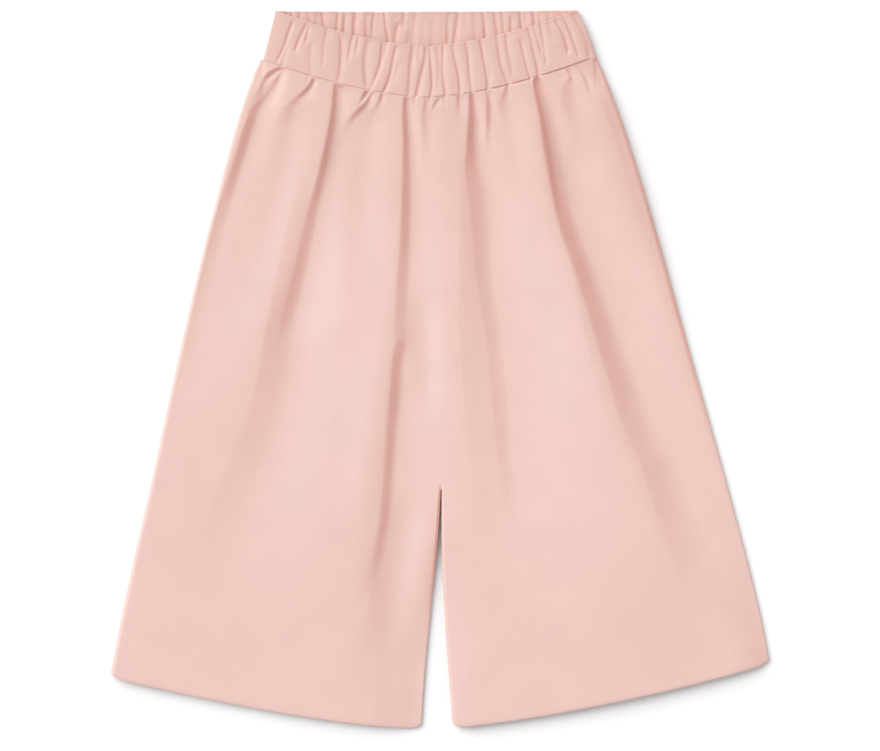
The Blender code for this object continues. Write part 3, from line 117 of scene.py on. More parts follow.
FRONT_FOLDS = {
    "right side pinch, outer": creases(
        (46.2, -125.6, 0.3, 0.9, 2), (47.4, -129.2, 0.75, 1.2, 2.5), (49.8, -133.8, 0.95, 1.4, 3),
        (52.2, -136.8, 1, 1.7, 3.5), (55.4, -139.4, 0.9, 2.1, 4), (59.4, -141, 0.65, 2.4, 5),
        (65, -142.6, 0.4, 2.8, 6), (74, -145, 0, 3, 8),
    ),
    "right side pinch, inner": creases(
        (47.6, -126.2, 0.25, 1, 2.5), (53.6, -129.5, 0.5, 1.2, 3.5), (60.6, -133.1, 0.6, 1.4, 4.5),
        (66.7, -136.9, 0.65, 1.8, 6), (71, -139.6, 0.7, 2.4, 8), (76, -143, 0.8, 3.5, 10),
        (82, -146.2, 0.9, 4.6, 14), (90, -149, 0.95, 5, 18), (110, -154.8, 0.9, 5.4, 24),
        (130, -160.6, 0.72, 5.6, 28), (160, -168.8, 0.5, 7, 32), (200, -179, 0.36, 10, 34),
        (250, -191, 0.24, 12, 34), (320, -206, 0, 14, 32),
    ),
    "right gather by the side": creases(
        (54.5, -101.6, 0.15, 0.9, 2), (57, -102.8, 0.45, 1, 2.5), (60.5, -104.4, 0.52, 1.1, 3),
        (64.5, -107, 0.52, 1.4, 4), (68, -109.8, 0.44, 1.9, 6), (71.5, -112.4, 0.34, 3, 8),
        (77, -115, 0.34, 6, 12), (90, -119, 0.44, 9, 14), (105, -122.5, 0.5, 12, 16),
        (120, -125.5, 0.52, 14, 18), (170, -135, 0.42, 18, 24), (250, -154, 0, 18, 26),
    ),
    "right main fold": creases(
        (58.4, -83.8, 0.3, 1.8, 4), (66, -83.8, 0.66, 2.2, 8), (78, -84.2, 0.72, 2.5, 10),
        (95, -86.2, 0.74, 2.9, 14), (120, -90.4, 0.74, 3.5, 18), (145, -95.3, 0.72, 4.5, 22),
        (160, -98.4, 0.72, 5.6, 26), (180, -102, 0.72, 6.4, 26), (200, -105.8, 0.72, 6.8, 24),
        (220, -110.2, 0.68, 7.2, 22), (240, -114.2, 0.56, 8, 20), (255, -116.6, 0.28, 8.5, 20),
        (268, -118.6, 0, 9, 20),
    ),
    "right slanting gather": creases(
        (65.6, -55, 0.12, 1, 2), (70.6, -57.2, 0.32, 1.1, 3), (75, -59.6, 0.42, 1.4, 5),
        (80, -63.2, 0.48, 2, 8), (85, -67, 0.48, 3, 11), (91, -70.4, 0.46, 4.5, 14),
        (104, -74.4, 0.42, 7, 16), (130, -78, 0.2, 10, 18), (160, -80, 0, 10, 18),
    ),
    "right short gather": creases(
        (62, -59, 0.4, 1.2, 2), (67, -60.5, 0.4, 1.4, 2), (73, -62.5, 0, 1.6, 2),
    ),
    "right soft gather": creases(
        (66, -46.4, 0.15, 0.9, 2), (71, -48.6, 0.2, 1, 3), (76, -50, 0.2, 1.6, 6),
        (82, -52, 0.28, 4.5, 9), (98, -58, 0.42, 10, 12), (125, -62, 0.46, 12, 15),
        (160, -64, 0.36, 13, 18), (200, -66, 0.2, 13, 20), (250, -70, 0, 14, 22),
    ),
    "right inner fold, upper": creases(
        (68.8, -28.4, 0.15, 1.3, 2), (75, -28.4, 0.45, 1.8, 4), (85, -27.8, 0.6, 2.3, 6),
        (100, -26.6, 0.68, 2.9, 8), (125, -25.2, 0.64, 4, 12), (150, -24.5, 0.6, 4.9, 18),
        (190, -24.8, 0.52, 5.9, 24), (225, -26, 0.38, 7, 22), (248, -27, 0.22, 7, 18),
        (264, -28, 0, 8, 16),
    ),
    "right inner fold, lower": creases(
        (236, -24, 0, 8, 16), (252, -25, 0.15, 8, 16), (266, -27, 0.36, 6.4, 18),
        (280, -30.6, 0.44, 5.8, 22), (300, -32, 0.48, 6, 26), (340, -35.6, 0.45, 5.8, 30),
        (380, -38.4, 0.42, 5.6, 34), (400, -40.2, 0.42, 5.6, 34), (420, -43, 0.38, 5.6, 24),
        (445, -47.5, 0.24, 6.5, 18), (465, -52, 0.08, 8, 16), (485, -55, 0, 8, 16),
    ),
    "right inner hem hollow": creases(
        (430, -20, 0, 18, 20), (470, -18, 0.35, 24, 20), (510, -14, 0.8, 26, 20), (545, -14, 1, 26, 20),
        (576, -14, 1, 26, 20),
    ),
    "centre crease": creases(
        (70.6, -12.8, 0.12, 0.9, 2), (76, -13, 0.16, 1, 3), (84, -12.6, 0.18, 2.5, 5),
        (100, -10.5, 0.22, 4, 6), (130, -9, 0, 5, 6),
    ),
    "centre slant": creases(
        (70.6, -2.4, 0.12, 0.9, 2), (74, -4, 0.2, 1, 3), (77.5, -6, 0.16, 1.3, 4), (84, -7, 0.1, 3, 6),
        (100, -6, 0, 5, 8),
    ),
    "left short gather": creases(
        (66.5, 13.4, 0.15, 1.4, 3), (74, 14.6, 0.22, 2.4, 5), (86, 16, 0.1, 4, 8), (100, 17, 0, 6, 8),
    ),
    "left inner fold": creases(
        (65.6, 22.8, 0.2, 1, 2), (70, 23.8, 0.42, 1.5, 3), (80, 25, 0.72, 2.3, 5), (90, 25.6, 0.9, 3, 7),
        (105, 26, 0.95, 4, 9), (118, 28, 0.95, 5.6, 11), (132, 32.8, 0.88, 8.8, 14),
        (150, 37, 0.78, 10.2, 19), (175, 39, 0.7, 10, 26), (200, 40.4, 0.62, 9.4, 34),
        (220, 41.8, 0.54, 8.6, 38), (240, 45, 0.5, 8.4, 42), (260, 48.4, 0.48, 8.8, 44),
        (290, 51.4, 0.46, 9, 46), (320, 53.8, 0.44, 8.6, 46), (350, 56, 0.36, 8.2, 46),
        (380, 58.6, 0.22, 7.4, 46), (412, 60, 0, 7, 46),
    ),
    "left second gather": creases(
        (64, 37.4, 0.15, 1.1, 2), (72, 38.3, 0.28, 1.8, 4), (88, 38.9, 0.38, 2.6, 8),
        (103, 38.6, 0.32, 3, 12), (118, 38.4, 0.15, 4, 12), (132, 38, 0, 5, 12),
    ),
    "left third gather": creases(
        (60, 52, 0.18, 1, 2), (65, 52, 0.2, 1.6, 4), (72, 52, 0.24, 4, 7), (88, 54, 0.28, 7, 10),
        (112, 58, 0.12, 9, 12), (135, 62, 0, 9, 12),
    ),
    "left main fold": creases(
        (53, 75, 0.3, 1.5, 2), (60, 77.2, 0.62, 2.9, 4), (70, 80.6, 0.9, 4, 6), (80, 84, 1, 4.8, 8),
        (95, 87.6, 1, 5.6, 12), (110, 91.2, 1, 6.6, 14), (120, 94, 1, 7.2, 16), (140, 99.4, 1, 8.3, 18),
        (160, 104.6, 1, 9, 22), (180, 111.4, 0.98, 9.6, 24), (200, 119.6, 0.96, 10.2, 28),
        (220, 127.4, 0.95, 11, 30), (240, 135.2, 0.95, 11.8, 34), (260, 142.4, 0.95, 12.8, 36),
        (280, 150, 0.95, 13.8, 38), (300, 158, 0.95, 14.8, 40), (320, 166, 0.94, 15.8, 42),
        (340, 176, 0.92, 16.8, 44), (360, 186.4, 0.9, 17.8, 46), (380, 194.6, 0.86, 18.8, 46),
        (400, 202.6, 0.78, 19.8, 48), (430, 216, 0.52, 21, 48), (470, 235, 0, 23, 48),
    ),
    "left main fold's soft side": creases(
        (94, 101, 0, 9, 12), (118, 106.5, 0.35, 12, 16), (140, 112, 0.55, 15, 20),
        (160, 118, 0.62, 17, 22), (180, 126, 0.62, 19, 24), (200, 133.5, 0.62, 20, 26),
        (240, 147, 0.6, 23, 30), (280, 162, 0.58, 27, 34), (320, 178, 0.56, 29, 36),
        (360, 198, 0.54, 30, 38), (400, 216, 0.52, 31, 38), (440, 234, 0.48, 31, 34),
        (480, 248, 0.34, 26, 26), (515, 256, 0, 22, 22),
    ),
    "left outer gather": creases(
        (46, 99.6, 0.15, 1, 2), (50, 101.6, 0.35, 1.1, 3), (55, 104, 0.3, 1.4, 4),
        (59, 104.4, 0.28, 4, 5), (68, 105, 0.36, 6.5, 10), (85, 107.5, 0.34, 8, 14),
        (105, 112, 0.24, 10, 16), (140, 119, 0, 10, 18),
    ),
    "left outermost gather": creases(
        (45, 107.6, 0.12, 1.2, 2), (50, 112, 0.3, 1.4, 3), (55, 114.8, 0.35, 1.4, 4),
        (61, 117, 0.28, 1.4, 5), (68, 119.5, 0.08, 2, 6), (74, 121, 0, 2, 6),
    ),
    "left side crease": creases(
        (40, 121.4, 0.12, 1, 2), (48, 123.8, 0.16, 1.1, 3), (55, 126.8, 0.14, 1.2, 3),
        (60, 128.8, 0, 1.5, 3),
    ),
    "left side hollow": creases(
        (72, 134, 0, 10, 12), (94, 142, 0.1, 12, 14), (120, 150, 0.1, 13, 14), (200, 168, 0, 14, 16),
    ),
    "left inner fold's soft side": creases(
        (112, 28, 0, 8, 14), (140, 34, 0.3, 13, 18), (200, 38, 0.42, 16, 28), (260, 43, 0.45, 19, 36),
        (320, 47, 0.35, 19, 42), (380, 51, 0.2, 18, 44), (440, 54, 0, 18, 44),
    ),
    "right inner fold's soft end": creases(
        (385, -27, 0, 9, 14), (415, -29.5, 0.42, 12, 16), (450, -33, 0.6, 14, 18),
        (480, -36, 0.48, 15, 20), (520, -40, 0.2, 16, 20), (552, -42, 0, 16, 20),
    ),
    "right main fold's soft side": creases(
        (120, -101, 0, 8, 20), (150, -105, 0.25, 9, 22), (175, -108, 0.34, 11, 24),
        (200, -110.5, 0.4, 12.5, 26), (240, -115, 0.5, 15, 28), (265, -117, 0.55, 17, 30),
        (290, -119.5, 0.54, 18, 34), (320, -125, 0.5, 19, 36), (360, -138, 0.38, 20, 38),
        (400, -151, 0.24, 22, 38), (460, -166, 0, 24, 38),
    ),
    "right inner fold's shallow hollow": creases(
        (222, -15, 0, 9, 10), (245, -14, 0.25, 9, 10), (270, -12.5, 0.28, 9, 10),
        (300, -11.5, 0.22, 8, 10), (332, -12, 0, 8, 10),
    ),
    "right side pinch, between": creases(
        (49, -128, 0, 4, 4), (55, -130.5, 0.5, 5, 4), (62, -134, 0.8, 6.5, 5), (70, -138.5, 0.8, 7, 6),
        (77, -143.5, 0.6, 6, 7), (86, -149, 0, 5, 8),
    ),
    "right slanting gather's twin": creases(
        (65, -59.6, 0.1, 0.9, 1.5), (69, -62, 0.25, 0.9, 2), (73, -64, 0.2, 1, 2.5), (77, -66, 0, 1.2, 3),
    ),
    "left main fold's edge": creases(
        (53, 74.2, 0.3, 1.3, 3), (60, 75.6, 0.55, 1.7, 4), (70, 78.4, 0.6, 1.8, 4.5),
        (80, 80.8, 0.62, 1.9, 5), (95, 84, 0.6, 2, 6), (110, 86.4, 0.6, 2.1, 6), (120, 88, 0.58, 2.2, 6),
        (135, 90.8, 0.5, 2.6, 7), (150, 94.4, 0.3, 3.2, 8), (168, 99, 0, 4, 9),
    ),
}

BACK_FOLDS = (              # guessed, since the back lies down: a sparser version of the front's
    creases((38, -126, 0.8, 4, 9), (96, -140, 0.7, 6, 14), (150, -152, 0, 9, 20)),
    creases((38, -106, 0.6, 3.6, 8), (70, -112, 0, 5, 12)),
    creases((38, -84, 0.9, 4.4, 10), (130, -96, 0.8, 9, 20), (240, -118, 0, 14, 30)),
    creases((38, -60, 0.6, 3.6, 8), (84, -64, 0, 6, 12)),
    creases((38, -38, 0.85, 4.4, 10), (120, -42, 0.7, 8, 20), (210, -50, 0, 12, 28)),
    creases((38, -20, 0.55, 3.6, 8), (66, -22, 0, 4.4, 10)),
    creases((38, 2, 0.55, 3.6, 8), (74, 4, 0, 5, 10)),
    creases((38, 22, 0.9, 4.4, 10), (120, 28, 0.7, 8, 20), (230, 40, 0, 13, 28)),
    creases((38, 46, 0.6, 3.6, 8), (80, 50, 0, 5, 12)),
    creases((38, 66, 0.9, 4.4, 10), (140, 80, 0.8, 9, 20), (250, 104, 0, 14, 30)),
    creases((38, 86, 0.6, 3.6, 8), (74, 92, 0, 5, 10)),
    creases((38, 104, 0.8, 4, 9), (90, 118, 0.6, 6, 14), (140, 130, 0, 8, 18)),
)

# Broad soft swells and hollows: where, half widths across and down, turn in degrees, and height.
Swell = namedtuple("Swell", "across down wide long turn height")
SWELLS = (
    Swell(112, 210, 28, 100, 20, 3.5),
    Swell(146, 325, 40, 80, 24, 3),
    Swell(158, 440, 50, 60, 24, 2),
    Swell(76, 110, 14, 50, 12, 1.5),
    Swell(-128, 190, 22, 80, -12, 1.5),
    Swell(-90, 420, 40, 100, -8, 2),
    Swell(126, 480, 60, 90, 15, 2.5),
    Swell(-54, 330, 16, 110, -7, 2),
)

# Height of a layer above what it lies on, where no fold takes it down.
Loft = namedtuple("Loft", "fall height")
FRONT_LOFT = (
    Loft(0, 6),
    Loft(30, 6.8),
    Loft(70, 7.8),
    Loft(130, 8.8),
    Loft(200, 9),
    Loft(320, 7.6),
    Loft(430, 5.4),
    Loft(530, 3.4),
)
SEAM_REACH = 25.0           # how far below the waistband the legs keep to its height
LEAST_SEAM_LOFT = 0.6
LEAST_LOFT = 0.35           # the part of the loft that a hollow leaves at least
BACK_LOFT = 2.2             # the most that a fold lifts the back legs off the surface
BACK_LOFT_REACH = 230.0     # how far below the waistband those folds reach
LEAST_LIFT = 0.02           # a lower lift, or a fainter pinch, counts as lying flat
LEAST_PINCH = 0.01
LAYER_CLEARANCE = 0.5       # what the front legs keep above the back legs' folds
CROTCH_EASE = 0.5           # how fast the inseams' slopes fade out above the crotch
BACK_ROLL = 20.0            # width over which a back leg comes down to its edges
BACK_ROLL_HASTE = 1.6       # the higher, the sooner it is at its full height
EDGE_TURN = 1.3             # width over which a front leg turns down to its side seam and inseam
LEFT_EDGE_TURN = 2.8        # the same at the left side seam
# How much of the loft is lost towards the side seams, a row for each place down them, and towards the
# inseams: the share lost and the width of the slope.
SideSlope = namedtuple("SideSlope", "down right_share left_share wide")
SIDE_SLOPES = (
    SideSlope(38, 0.1, 0.12, 40),
    SideSlope(150, 0.1, 0.3, 50),
    SideSlope(320, 0.1, 0.6, 56),
    SideSlope(440, 0.1, 1, 36),
    SideSlope(536, 0.2, 1, 30),
)
LEFT_EDGE_SLOPE = (0.45, 13.0)      # a narrower one at the left side seam
LEFT_EDGE_OPENS = 400.0     # how far down that one grows to its full share
INSEAM_RIGHT_SLOPE = (0.9, 20.0)
INSEAM_LEFT_SLOPE = (0.15, 26.0)
INSEAM_OPENS = 110.0        # how far below the crotch the inseams' slopes grow to their full share
NARROWEST_FOLD = 0.8
FOLD_ARCH = 0.35            # how far a fold's steeper side is a round arch, the rest being a soft bell
FOLD_ARCH_REACH = 1.5       # how far the arch reaches, for a width of 1
FOLD_END = 8.0              # how far past its last row a fold fades out
SLOPE_STEP = 0.5            # the step down in which a fold's slant is measured
SEAM_PINCH = 1.6            # how far below it the seam holds a front and a back leg to its own height
BACK_SEAM_PINCH = 4.0
SEAM_DITCH = 1.3            # how far a leg's top edge sinks into its seam with the waistband
SEAM_DITCH_WIDTH = 0.9
DITCH_UNEVENNESS = 0.25     # the part of that depth which comes and goes along the seam
DITCH_WAVES = (0.55, 0.21)  # and how fast it does, in radians to a millimetre
SeamMark = namedtuple("SeamMark", "across share")
SEAM_MARKS = (              # how clearly the seam shows along the waist
    SeamMark(-144, 0.2),
    SeamMark(-112, 0.1),
    SeamMark(-90, 0),
    SeamMark(-68, 0),
    SeamMark(-45, 0.05),
    SeamMark(-10, 0.1),
    SeamMark(15, 0.3),
    SeamMark(60, 0.6),
    SeamMark(90, 0.75),
    SeamMark(123, 0.5),
)
GATHER_SHADE_REACH = 105.0        # how far below the waistband the painted shade near it reaches
LEG_GATHER_SHADE = 0.65        # and how much, where a waistband is 1
PUCKER_DEPTH = 0.8          # small creases that run on from the waistband's furrows
PUCKER_FAN = 0.0026         # how much they spread, for each millimetre from the middle
PUCKER_WIDE = 1.1           # their half width at the seam, and how much it grows for each millimetre
PUCKER_WIDENING = 0.07
PUCKER_REACH = 7.0          # the shortest one's reach, and how much further the longest goes
PUCKER_REACH_SPREAD = 5.0
PUCKER_TURN = 2.3           # how that changes from one to the next, in radians

# ======================== ruching, a row for each furrow
# head, middle and foot are the furrow's places across at the band's top edge, half way down and at its
# seam. begins and ends are the parts of the band's height between which it runs, depth is a part of
# FURROW_DEPTH, and wide is the half width of its dark line.
Furrow = namedtuple("Furrow", "head middle foot begins ends depth wide")


def furrows_of(*rows):
    return tuple(Furrow(*row) for row in rows)


FURROW_DEPTH = 2.2
FURROW_FADE = 0.15          # part of the band's height over which a furrow fades out at an open end
FURROW_WAVER = 0.35         # how far a furrow wavers from its line
FURROW_SWING = 0.15         # the part of its depth that comes and goes along it
WAVER_TURNS = (7.0, 2.4)    # radians of that waver down the band, and from one furrow to the next
SWING_TURNS = (5.0, 1.7)    # and of that swing
FURROW_DARK_SIDE = 0.9      # how far its bottom lies beyond its dark side, for a wide of 1
FURROW_STEEP_SIDE = 1.2     # widths of its two sides and of the shallow hollow round it, for a wide of 1
FURROW_SOFT_SIDE = 2.0
FURROW_SHOULDER = 4.0
FURROW_SHARPNESS = 0.75     # the part of its depth that lies in the sharp line
PUFF = 0.8                  # how far the cloth between furrows stands out
FRONT_FURROWS = furrows_of(
    (-118.5, -125.5, -133.5, 0.1, 0.95, 0.7, 0.8), (-117, -123, -129, 0.5, 1, 0.4, 1),
    (-108.3, -116.2, -122.5, 0.05, 0.62, 0.85, 0.9), (-105.3, -110.8, -115.5, 0.08, 0.4, 0.7, 0.8),
    (-104.5, -105.8, -106.5, 0.35, 1, 0.4, 1.4), (-92.8, -95.4, -98.6, 0, 0.75, 0.4, 0.9),
    (-90.5, -91, -91.5, 0, 0.15, 0.4, 0.8), (-83.2, -81.3, -85, 0.08, 0.98, 0.8, 1.4),
    (-71.8, -76, -80, 0, 0.5, 0.6, 1.1), (-67.3, -71.4, -75, 0, 0.35, 0.6, 0.9),
    (-60, -62.7, -61.4, 0.03, 0.98, 0.85, 1.7), (-47.8, -51, -58, 0, 1, 0.8, 0.9),
    (-45.4, -48.6, -52.5, 0, 0.35, 0.6, 0.8), (-37, -41, -47.3, 0.08, 1, 0.95, 0.9),
    (-32, -37.5, -42, 0.35, 0.8, 0.3, 1.5), (-24.8, -26.2, -28.2, 0, 1, 0.9, 1.4),
    (-19, -20.3, -23, 0, 0.28, 0.4, 1), (-13.7, -16.8, -21.6, 0, 1, 1, 1.2),
    (-11.2, -9, -10, 0, 1, 0.95, 1), (-5, -3.7, -5.5, 0, 0.9, 0.45, 1.3), (-0.2, 0.2, 1.8, 0, 1, 0.85, 1),
    (7.6, 11.2, 13.8, 0, 1, 0.8, 1.1), (18.4, 20.6, 23.2, 0, 1, 0.75, 1),
    (29.2, 33.6, 35.4, 0, 1, 0.95, 1), (33, 36, 38.8, 0.3, 0.85, 0.4, 1),
    (42.4, 45.6, 52, 0, 1, 0.75, 1.2), (50, 52.8, 55.6, 0, 0.85, 0.6, 1.2),
    (60, 64.3, 70, 0.2, 1, 0.8, 0.9), (67.2, 72.8, 75.9, 0, 1, 0.8, 1), (72, 77.5, 79.5, 0, 0.6, 0.6, 1),
    (77.4, 80.7, 84.3, 0, 0.8, 0.7, 1), (83.5, 88, 92.5, 0, 0.4, 0.35, 1.3),
    (89.4, 97.6, 101.2, 0.02, 0.75, 1, 0.9), (94.8, 103.8, 109.5, 0, 0.88, 0.8, 0.9),
    (103.2, 112.4, 116.8, 0.02, 0.98, 1, 1.6),
)
BACK_FURROWS = furrows_of(
    (-124.5, -127, -131, 0, 0.9, 0.6, 0.9), (-121, -122.5, -124.5, 0, 1, 0.7, 0.9),
    (-115, -116, -118, 0, 1, 0.6, 1.2), (-107.5, -107, -108.5, 0, 1, 0.5, 1.4),
    (-102, -102, -103, 0.05, 0.9, 0.4, 1.5), (-97, -94.5, -94, 0, 1, 0.9, 1.2),
    (-83.5, -85.8, -87, 0, 1, 0.8, 1), (-79, -79.5, -80.5, 0, 1, 0.9, 1.2),
    (-70, -71.5, -73.5, 0, 1, 1, 1.3), (-67, -66, -65.5, 0, 0.15, 0.4, 1),
    (-62.5, -61, -60.5, 0.05, 1, 0.7, 1.4), (-54.5, -57.5, -58.5, 0, 1, 0.7, 1.2),
    (-51.5, -52.5, -53, 0, 0.7, 0.3, 1.5), (-46.8, -44.5, -43.2, 0, 1, 0.9, 0.9),
    (-39.7, -40.3, -42.2, 0.1, 0.6, 0.3, 1.5), (-34, -37.8, -41, 0.25, 1, 0.9, 1.2),
    (-30.8, -32.5, -34, 0, 0.35, 0.7, 1.2), (-27, -27.6, -28, 0.1, 0.7, 0.5, 1.5),
    (-22.3, -24.3, -26, 0, 1, 0.6, 1.5), (-17, -16.5, -16, 0.2, 0.7, 0.25, 1.5),
    (-9.3, -9.3, -9.5, 0.2, 1, 0.35, 1.5), (4.8, 3.5, 3, 0.05, 0.7, 0.6, 1.2),
    (12, 9.4, 8.2, 0, 1, 0.8, 1.4), (17, 17, 17.5, 0, 0.4, 0.3, 1.5), (25.5, 24.7, 25, 0, 0.8, 0.4, 1.5),
    (31.3, 33.7, 34.5, 0, 1, 0.9, 1.1), (41, 43.5, 45, 0, 1, 0.6, 1.2), (47.5, 48, 49, 0, 1, 0.6, 1.1),
    (53.8, 54.8, 56, 0.12, 0.9, 0.8, 1.1), (62, 63, 64, 0, 1, 0.8, 1), (65, 66, 67.5, 0, 0.25, 0.5, 1.4),
    (71.8, 74.5, 77, 0, 1, 0.9, 1.2), (76.5, 78.8, 81.5, 0.05, 0.9, 0.7, 1),
    (83, 86, 89, 0, 0.8, 0.35, 1.4), (93, 98, 102, 0, 0.8, 0.4, 1.3), (100, 106, 111, 0, 0.9, 0.5, 1.2),
)
FRONT_BAND_REST = 0.35      # clear space under the front band at its sides
FRONT_BAND_RISE_TOP = 3.4   # how much higher its middle lies, at its top edge and at its seam
FRONT_BAND_RISE_SEAM = 6.0
FRONT_BAND_ROUNDNESS = 0.35     # the lower, the further that height reaches to the sides
EDGE_ROUNDING = 0.5         # radius of the bands' turned-over edges, and how thick the very edge is
EDGE_THICKNESS = 0.7
BAND_LEFT_ROUNDING = 9.0    # width over which the bands thin out to their left side, and by how much
BAND_LEFT_THINNING = 0.75
THINNEST = 0.2              # least half thickness of a band
EDGE_LIP = 0.35             # how far a band's top edge stands up, and over which width
EDGE_LIP_WIDTH = 1.6
EDGE_WAVE = 0.5             # how far the furrows draw the top edges down

# ======================== grids
FRONT_COLUMNS = 190
FRONT_ROWS_TO_CROTCH = 160
FRONT_ROWS_TO_HEM = 60
BACK_COLUMNS = 130
BACK_ROWS_TO_CROTCH = 110
BACK_ROWS_TO_HEM = 40
ROW_CROWDING = 1.5
BAND_COLUMNS = 800
BAND_ROWS = 44
BAND_COLUMN_EVENNESS = 0.85     # 1 spaces them evenly, and less crowds them towards the band's edges
BAND_ROW_EVENNESS = 0.3
BAND_RIM = 0.1              # how far a band's rim bulges, where a leg's is a half round


# ======================== curves
def between(start, end, part):
    return start + (end - start) * part


def smooth_step(part):
    part = np.clip(part, 0.0, 1.0)
    return part * part * (3.0 - 2.0 * part)


def smooth_through(stations, values, at):
    """A cubic Hermite curve through the table's rows, with no corner at a row."""
    stations = np.asarray(stations, dtype=float)
    values = np.asarray(values, dtype=float)
    slopes = np.gradient(values, stations)
    index = np.clip(np.searchsorted(stations, at, side="right") - 1, 0, len(stations) - 2)
    span = stations[index + 1] - stations[index]
    part = np.clip((at - stations[index]) / span, 0.0, 1.0)
    square = part * part
    cube = square * part
    return ((2.0 * cube - 3.0 * square + 1.0) * values[index]
            + (cube - 2.0 * square + part) * span * slopes[index]
            + (3.0 * square - 2.0 * cube) * values[index + 1]
            + (cube - square) * span * slopes[index + 1])


def through(rows, stations, values, at):
    """The value of one column of a table, at a place along another."""
    heads = [getattr(row, stations) for row in rows]
    return smooth_through(heads, [getattr(row, values) for row in rows], at)


def band_edge(start, end, part, dip):
    """An edge that sags by dip between the two sides of the waist."""
    across = between(start[0], end[0], part)
    sag = 1.0 - np.clip(np.abs(2.0 * part - 1.0), 0.0, 1.0) ** SAG_ROUNDNESS
    return across, between(start[1], end[1], part) + dip * sag


def waist_seam(across, dip):
    """Where the seam under a waistband lies at this place across."""
    width = BAND_FOOT_LEFT[0] - BAND_FOOT_RIGHT[0]
    part = np.clip((across - BAND_FOOT_RIGHT[0]) / width, 0.0, 1.0)
    return band_edge(BAND_FOOT_RIGHT, BAND_FOOT_LEFT, part, dip)[1]


def side_edge(side, down):
    return through(SECTIONS, "down", side + "_side", down)


def inner_edge(side, down):
    """The centre seam down to the crotch and the inseam below it."""
    inseam = through(INSEAM_SECTIONS, "down", side + "_inner", down)
    seam_part = np.clip(down / CROTCH[1], 0.0, 1.0)
    centre = between(CENTRE_SEAM_TOP, CROTCH[0], seam_part)
    return np.where(down < CROTCH[1], centre, inseam)


def hem_bow(side, part):
    """How far a hem lies below a straight line, at a part of the way from side seam to inseam."""
    depth, lean = HEM_BOW_RIGHT if side == "right" else HEM_BOW_LEFT
    return depth * np.clip(1.0 - (2.0 * part ** lean - 1.0) ** 2, 0.0, 1.0) ** HEM_ROUNDNESS


def band_sides(down_part):
    """Across places of the waistband's right and left side, at a part of the way down it."""
    bulge = BAND_LEFT_BULGE * 4.0 * down_part * (1.0 - down_part)
    return (between(BAND_TOP_RIGHT[0], BAND_FOOT_RIGHT[0], down_part),
            between(BAND_TOP_LEFT[0], BAND_FOOT_LEFT[0], down_part) + bulge)


def furrow_line(furrow, down_part):
    """Across, at a part of the way down the waistband: a parabola through head, middle and foot."""
    bend = furrow.middle - (furrow.head + furrow.foot) / 2.0
    return between(furrow.head, furrow.foot, down_part) + 4.0 * bend * down_part * (1.0 - down_part)


def furrow_strength(furrow, down_part):
    """1 along a furrow, fading out past its ends where these are not the waistband's edges."""
    opens = 1.0 if furrow.begins == 0.0 else smooth_step((down_part - furrow.begins) / FURROW_FADE + 0.5)
    closes = 1.0 if furrow.ends == 1.0 else smooth_step((furrow.ends - down_part) / FURROW_FADE + 0.5)
    return opens * closes


# ======================== places over a leg
def leg_places(side, seam_dip, columns, rows_to_crotch, rows_to_hem):
    """Across and down of a leg's grid: rows from waist to hem, columns from side seam to inseam."""
    side_top_down = BAND_FOOT_RIGHT[1] if side == "right" else BAND_FOOT_LEFT[1]
    inner_top_down = float(waist_seam(CENTRE_SEAM_TOP, seam_dip))
    crotch_part = (CROTCH[1] - inner_top_down) / (INSEAM_FOOT[side] - inner_top_down)

    upper = crotch_part * (np.arange(rows_to_crotch) / rows_to_crotch) ** ROW_CROWDING
    lower = between(crotch_part, 1.0, np.arange(rows_to_hem + 1) / rows_to_hem)
    fall = np.concatenate([upper, lower])[:, None]
    across_part = (np.arange(columns + 1) / columns)[None, :]

    side_down = between(side_top_down, SIDE_SEAM_FOOT[side], fall)
    side_across = side_edge(side, side_down)
    inner_down = between(inner_top_down, INSEAM_FOOT[side], fall)
    inner_across = inner_edge(side, inner_down)

    top_across = between(side_across[0], inner_across[0], across_part)
    top_down = waist_seam(top_across, seam_dip)
    hem_across = between(side_across[-1], inner_across[-1], across_part)
    hem_width = abs(side_across[-1, 0] - inner_across[-1, 0])
    corner_distance = np.minimum(across_part, 1.0 - across_part) * hem_width
    corner = CORNER_EASE * np.clip(1.0 - corner_distance / CORNER_REACH, 0.0, 1.0) ** 2
    bow = hem_bow(side, across_part)
    hem_down = between(SIDE_SEAM_FOOT[side], INSEAM_FOOT[side], across_part) + bow - corner

    places = []
    for top, hem, outer, inner in ((top_across, hem_across, side_across, inner_across),
                                   (top_down, hem_down, side_down, inner_down)):
        ruled_down = between(top, hem, fall)
        ruled_across = between(outer, inner, across_part)
        corners_top = between(outer[0], inner[0], across_part)
        corners_hem = between(outer[-1], inner[-1], across_part)
        places.append(ruled_down + ruled_across - between(corners_top, corners_hem, fall))
    places[1][-1] = hem_down
    return places


# ======================== heights
def side_distances(across, down):
    """Distances in from the right side seam, the left one, and the inseam or crotch."""
    right = across - side_edge("right", down)
    left = side_edge("left", down) - across
    right_inner = inner_edge("right", down) - across
    left_inner = across - inner_edge("left", down)
    above_crotch = np.clip(CROTCH[1] - down, 0.0, None) * CROTCH_EASE
    return right, left, np.maximum(right_inner, left_inner) + above_crotch, right_inner > left_inner


def quarter_round(distance, width):
    part = np.clip(distance / width, 0.0, 1.0)
    return np.sqrt(1.0 - (1.0 - part) ** 2)


def back_roll(across, down):
    """0 along the edges of a back leg, 1 once the cloth is well inside them."""
    right, left, inner = side_distances(across, down)[:3]
    nearest = np.minimum(np.minimum(right, left), inner)
    return quarter_round(nearest, BACK_ROLL) * smooth_step(nearest / BACK_ROLL * BACK_ROLL_HASTE)


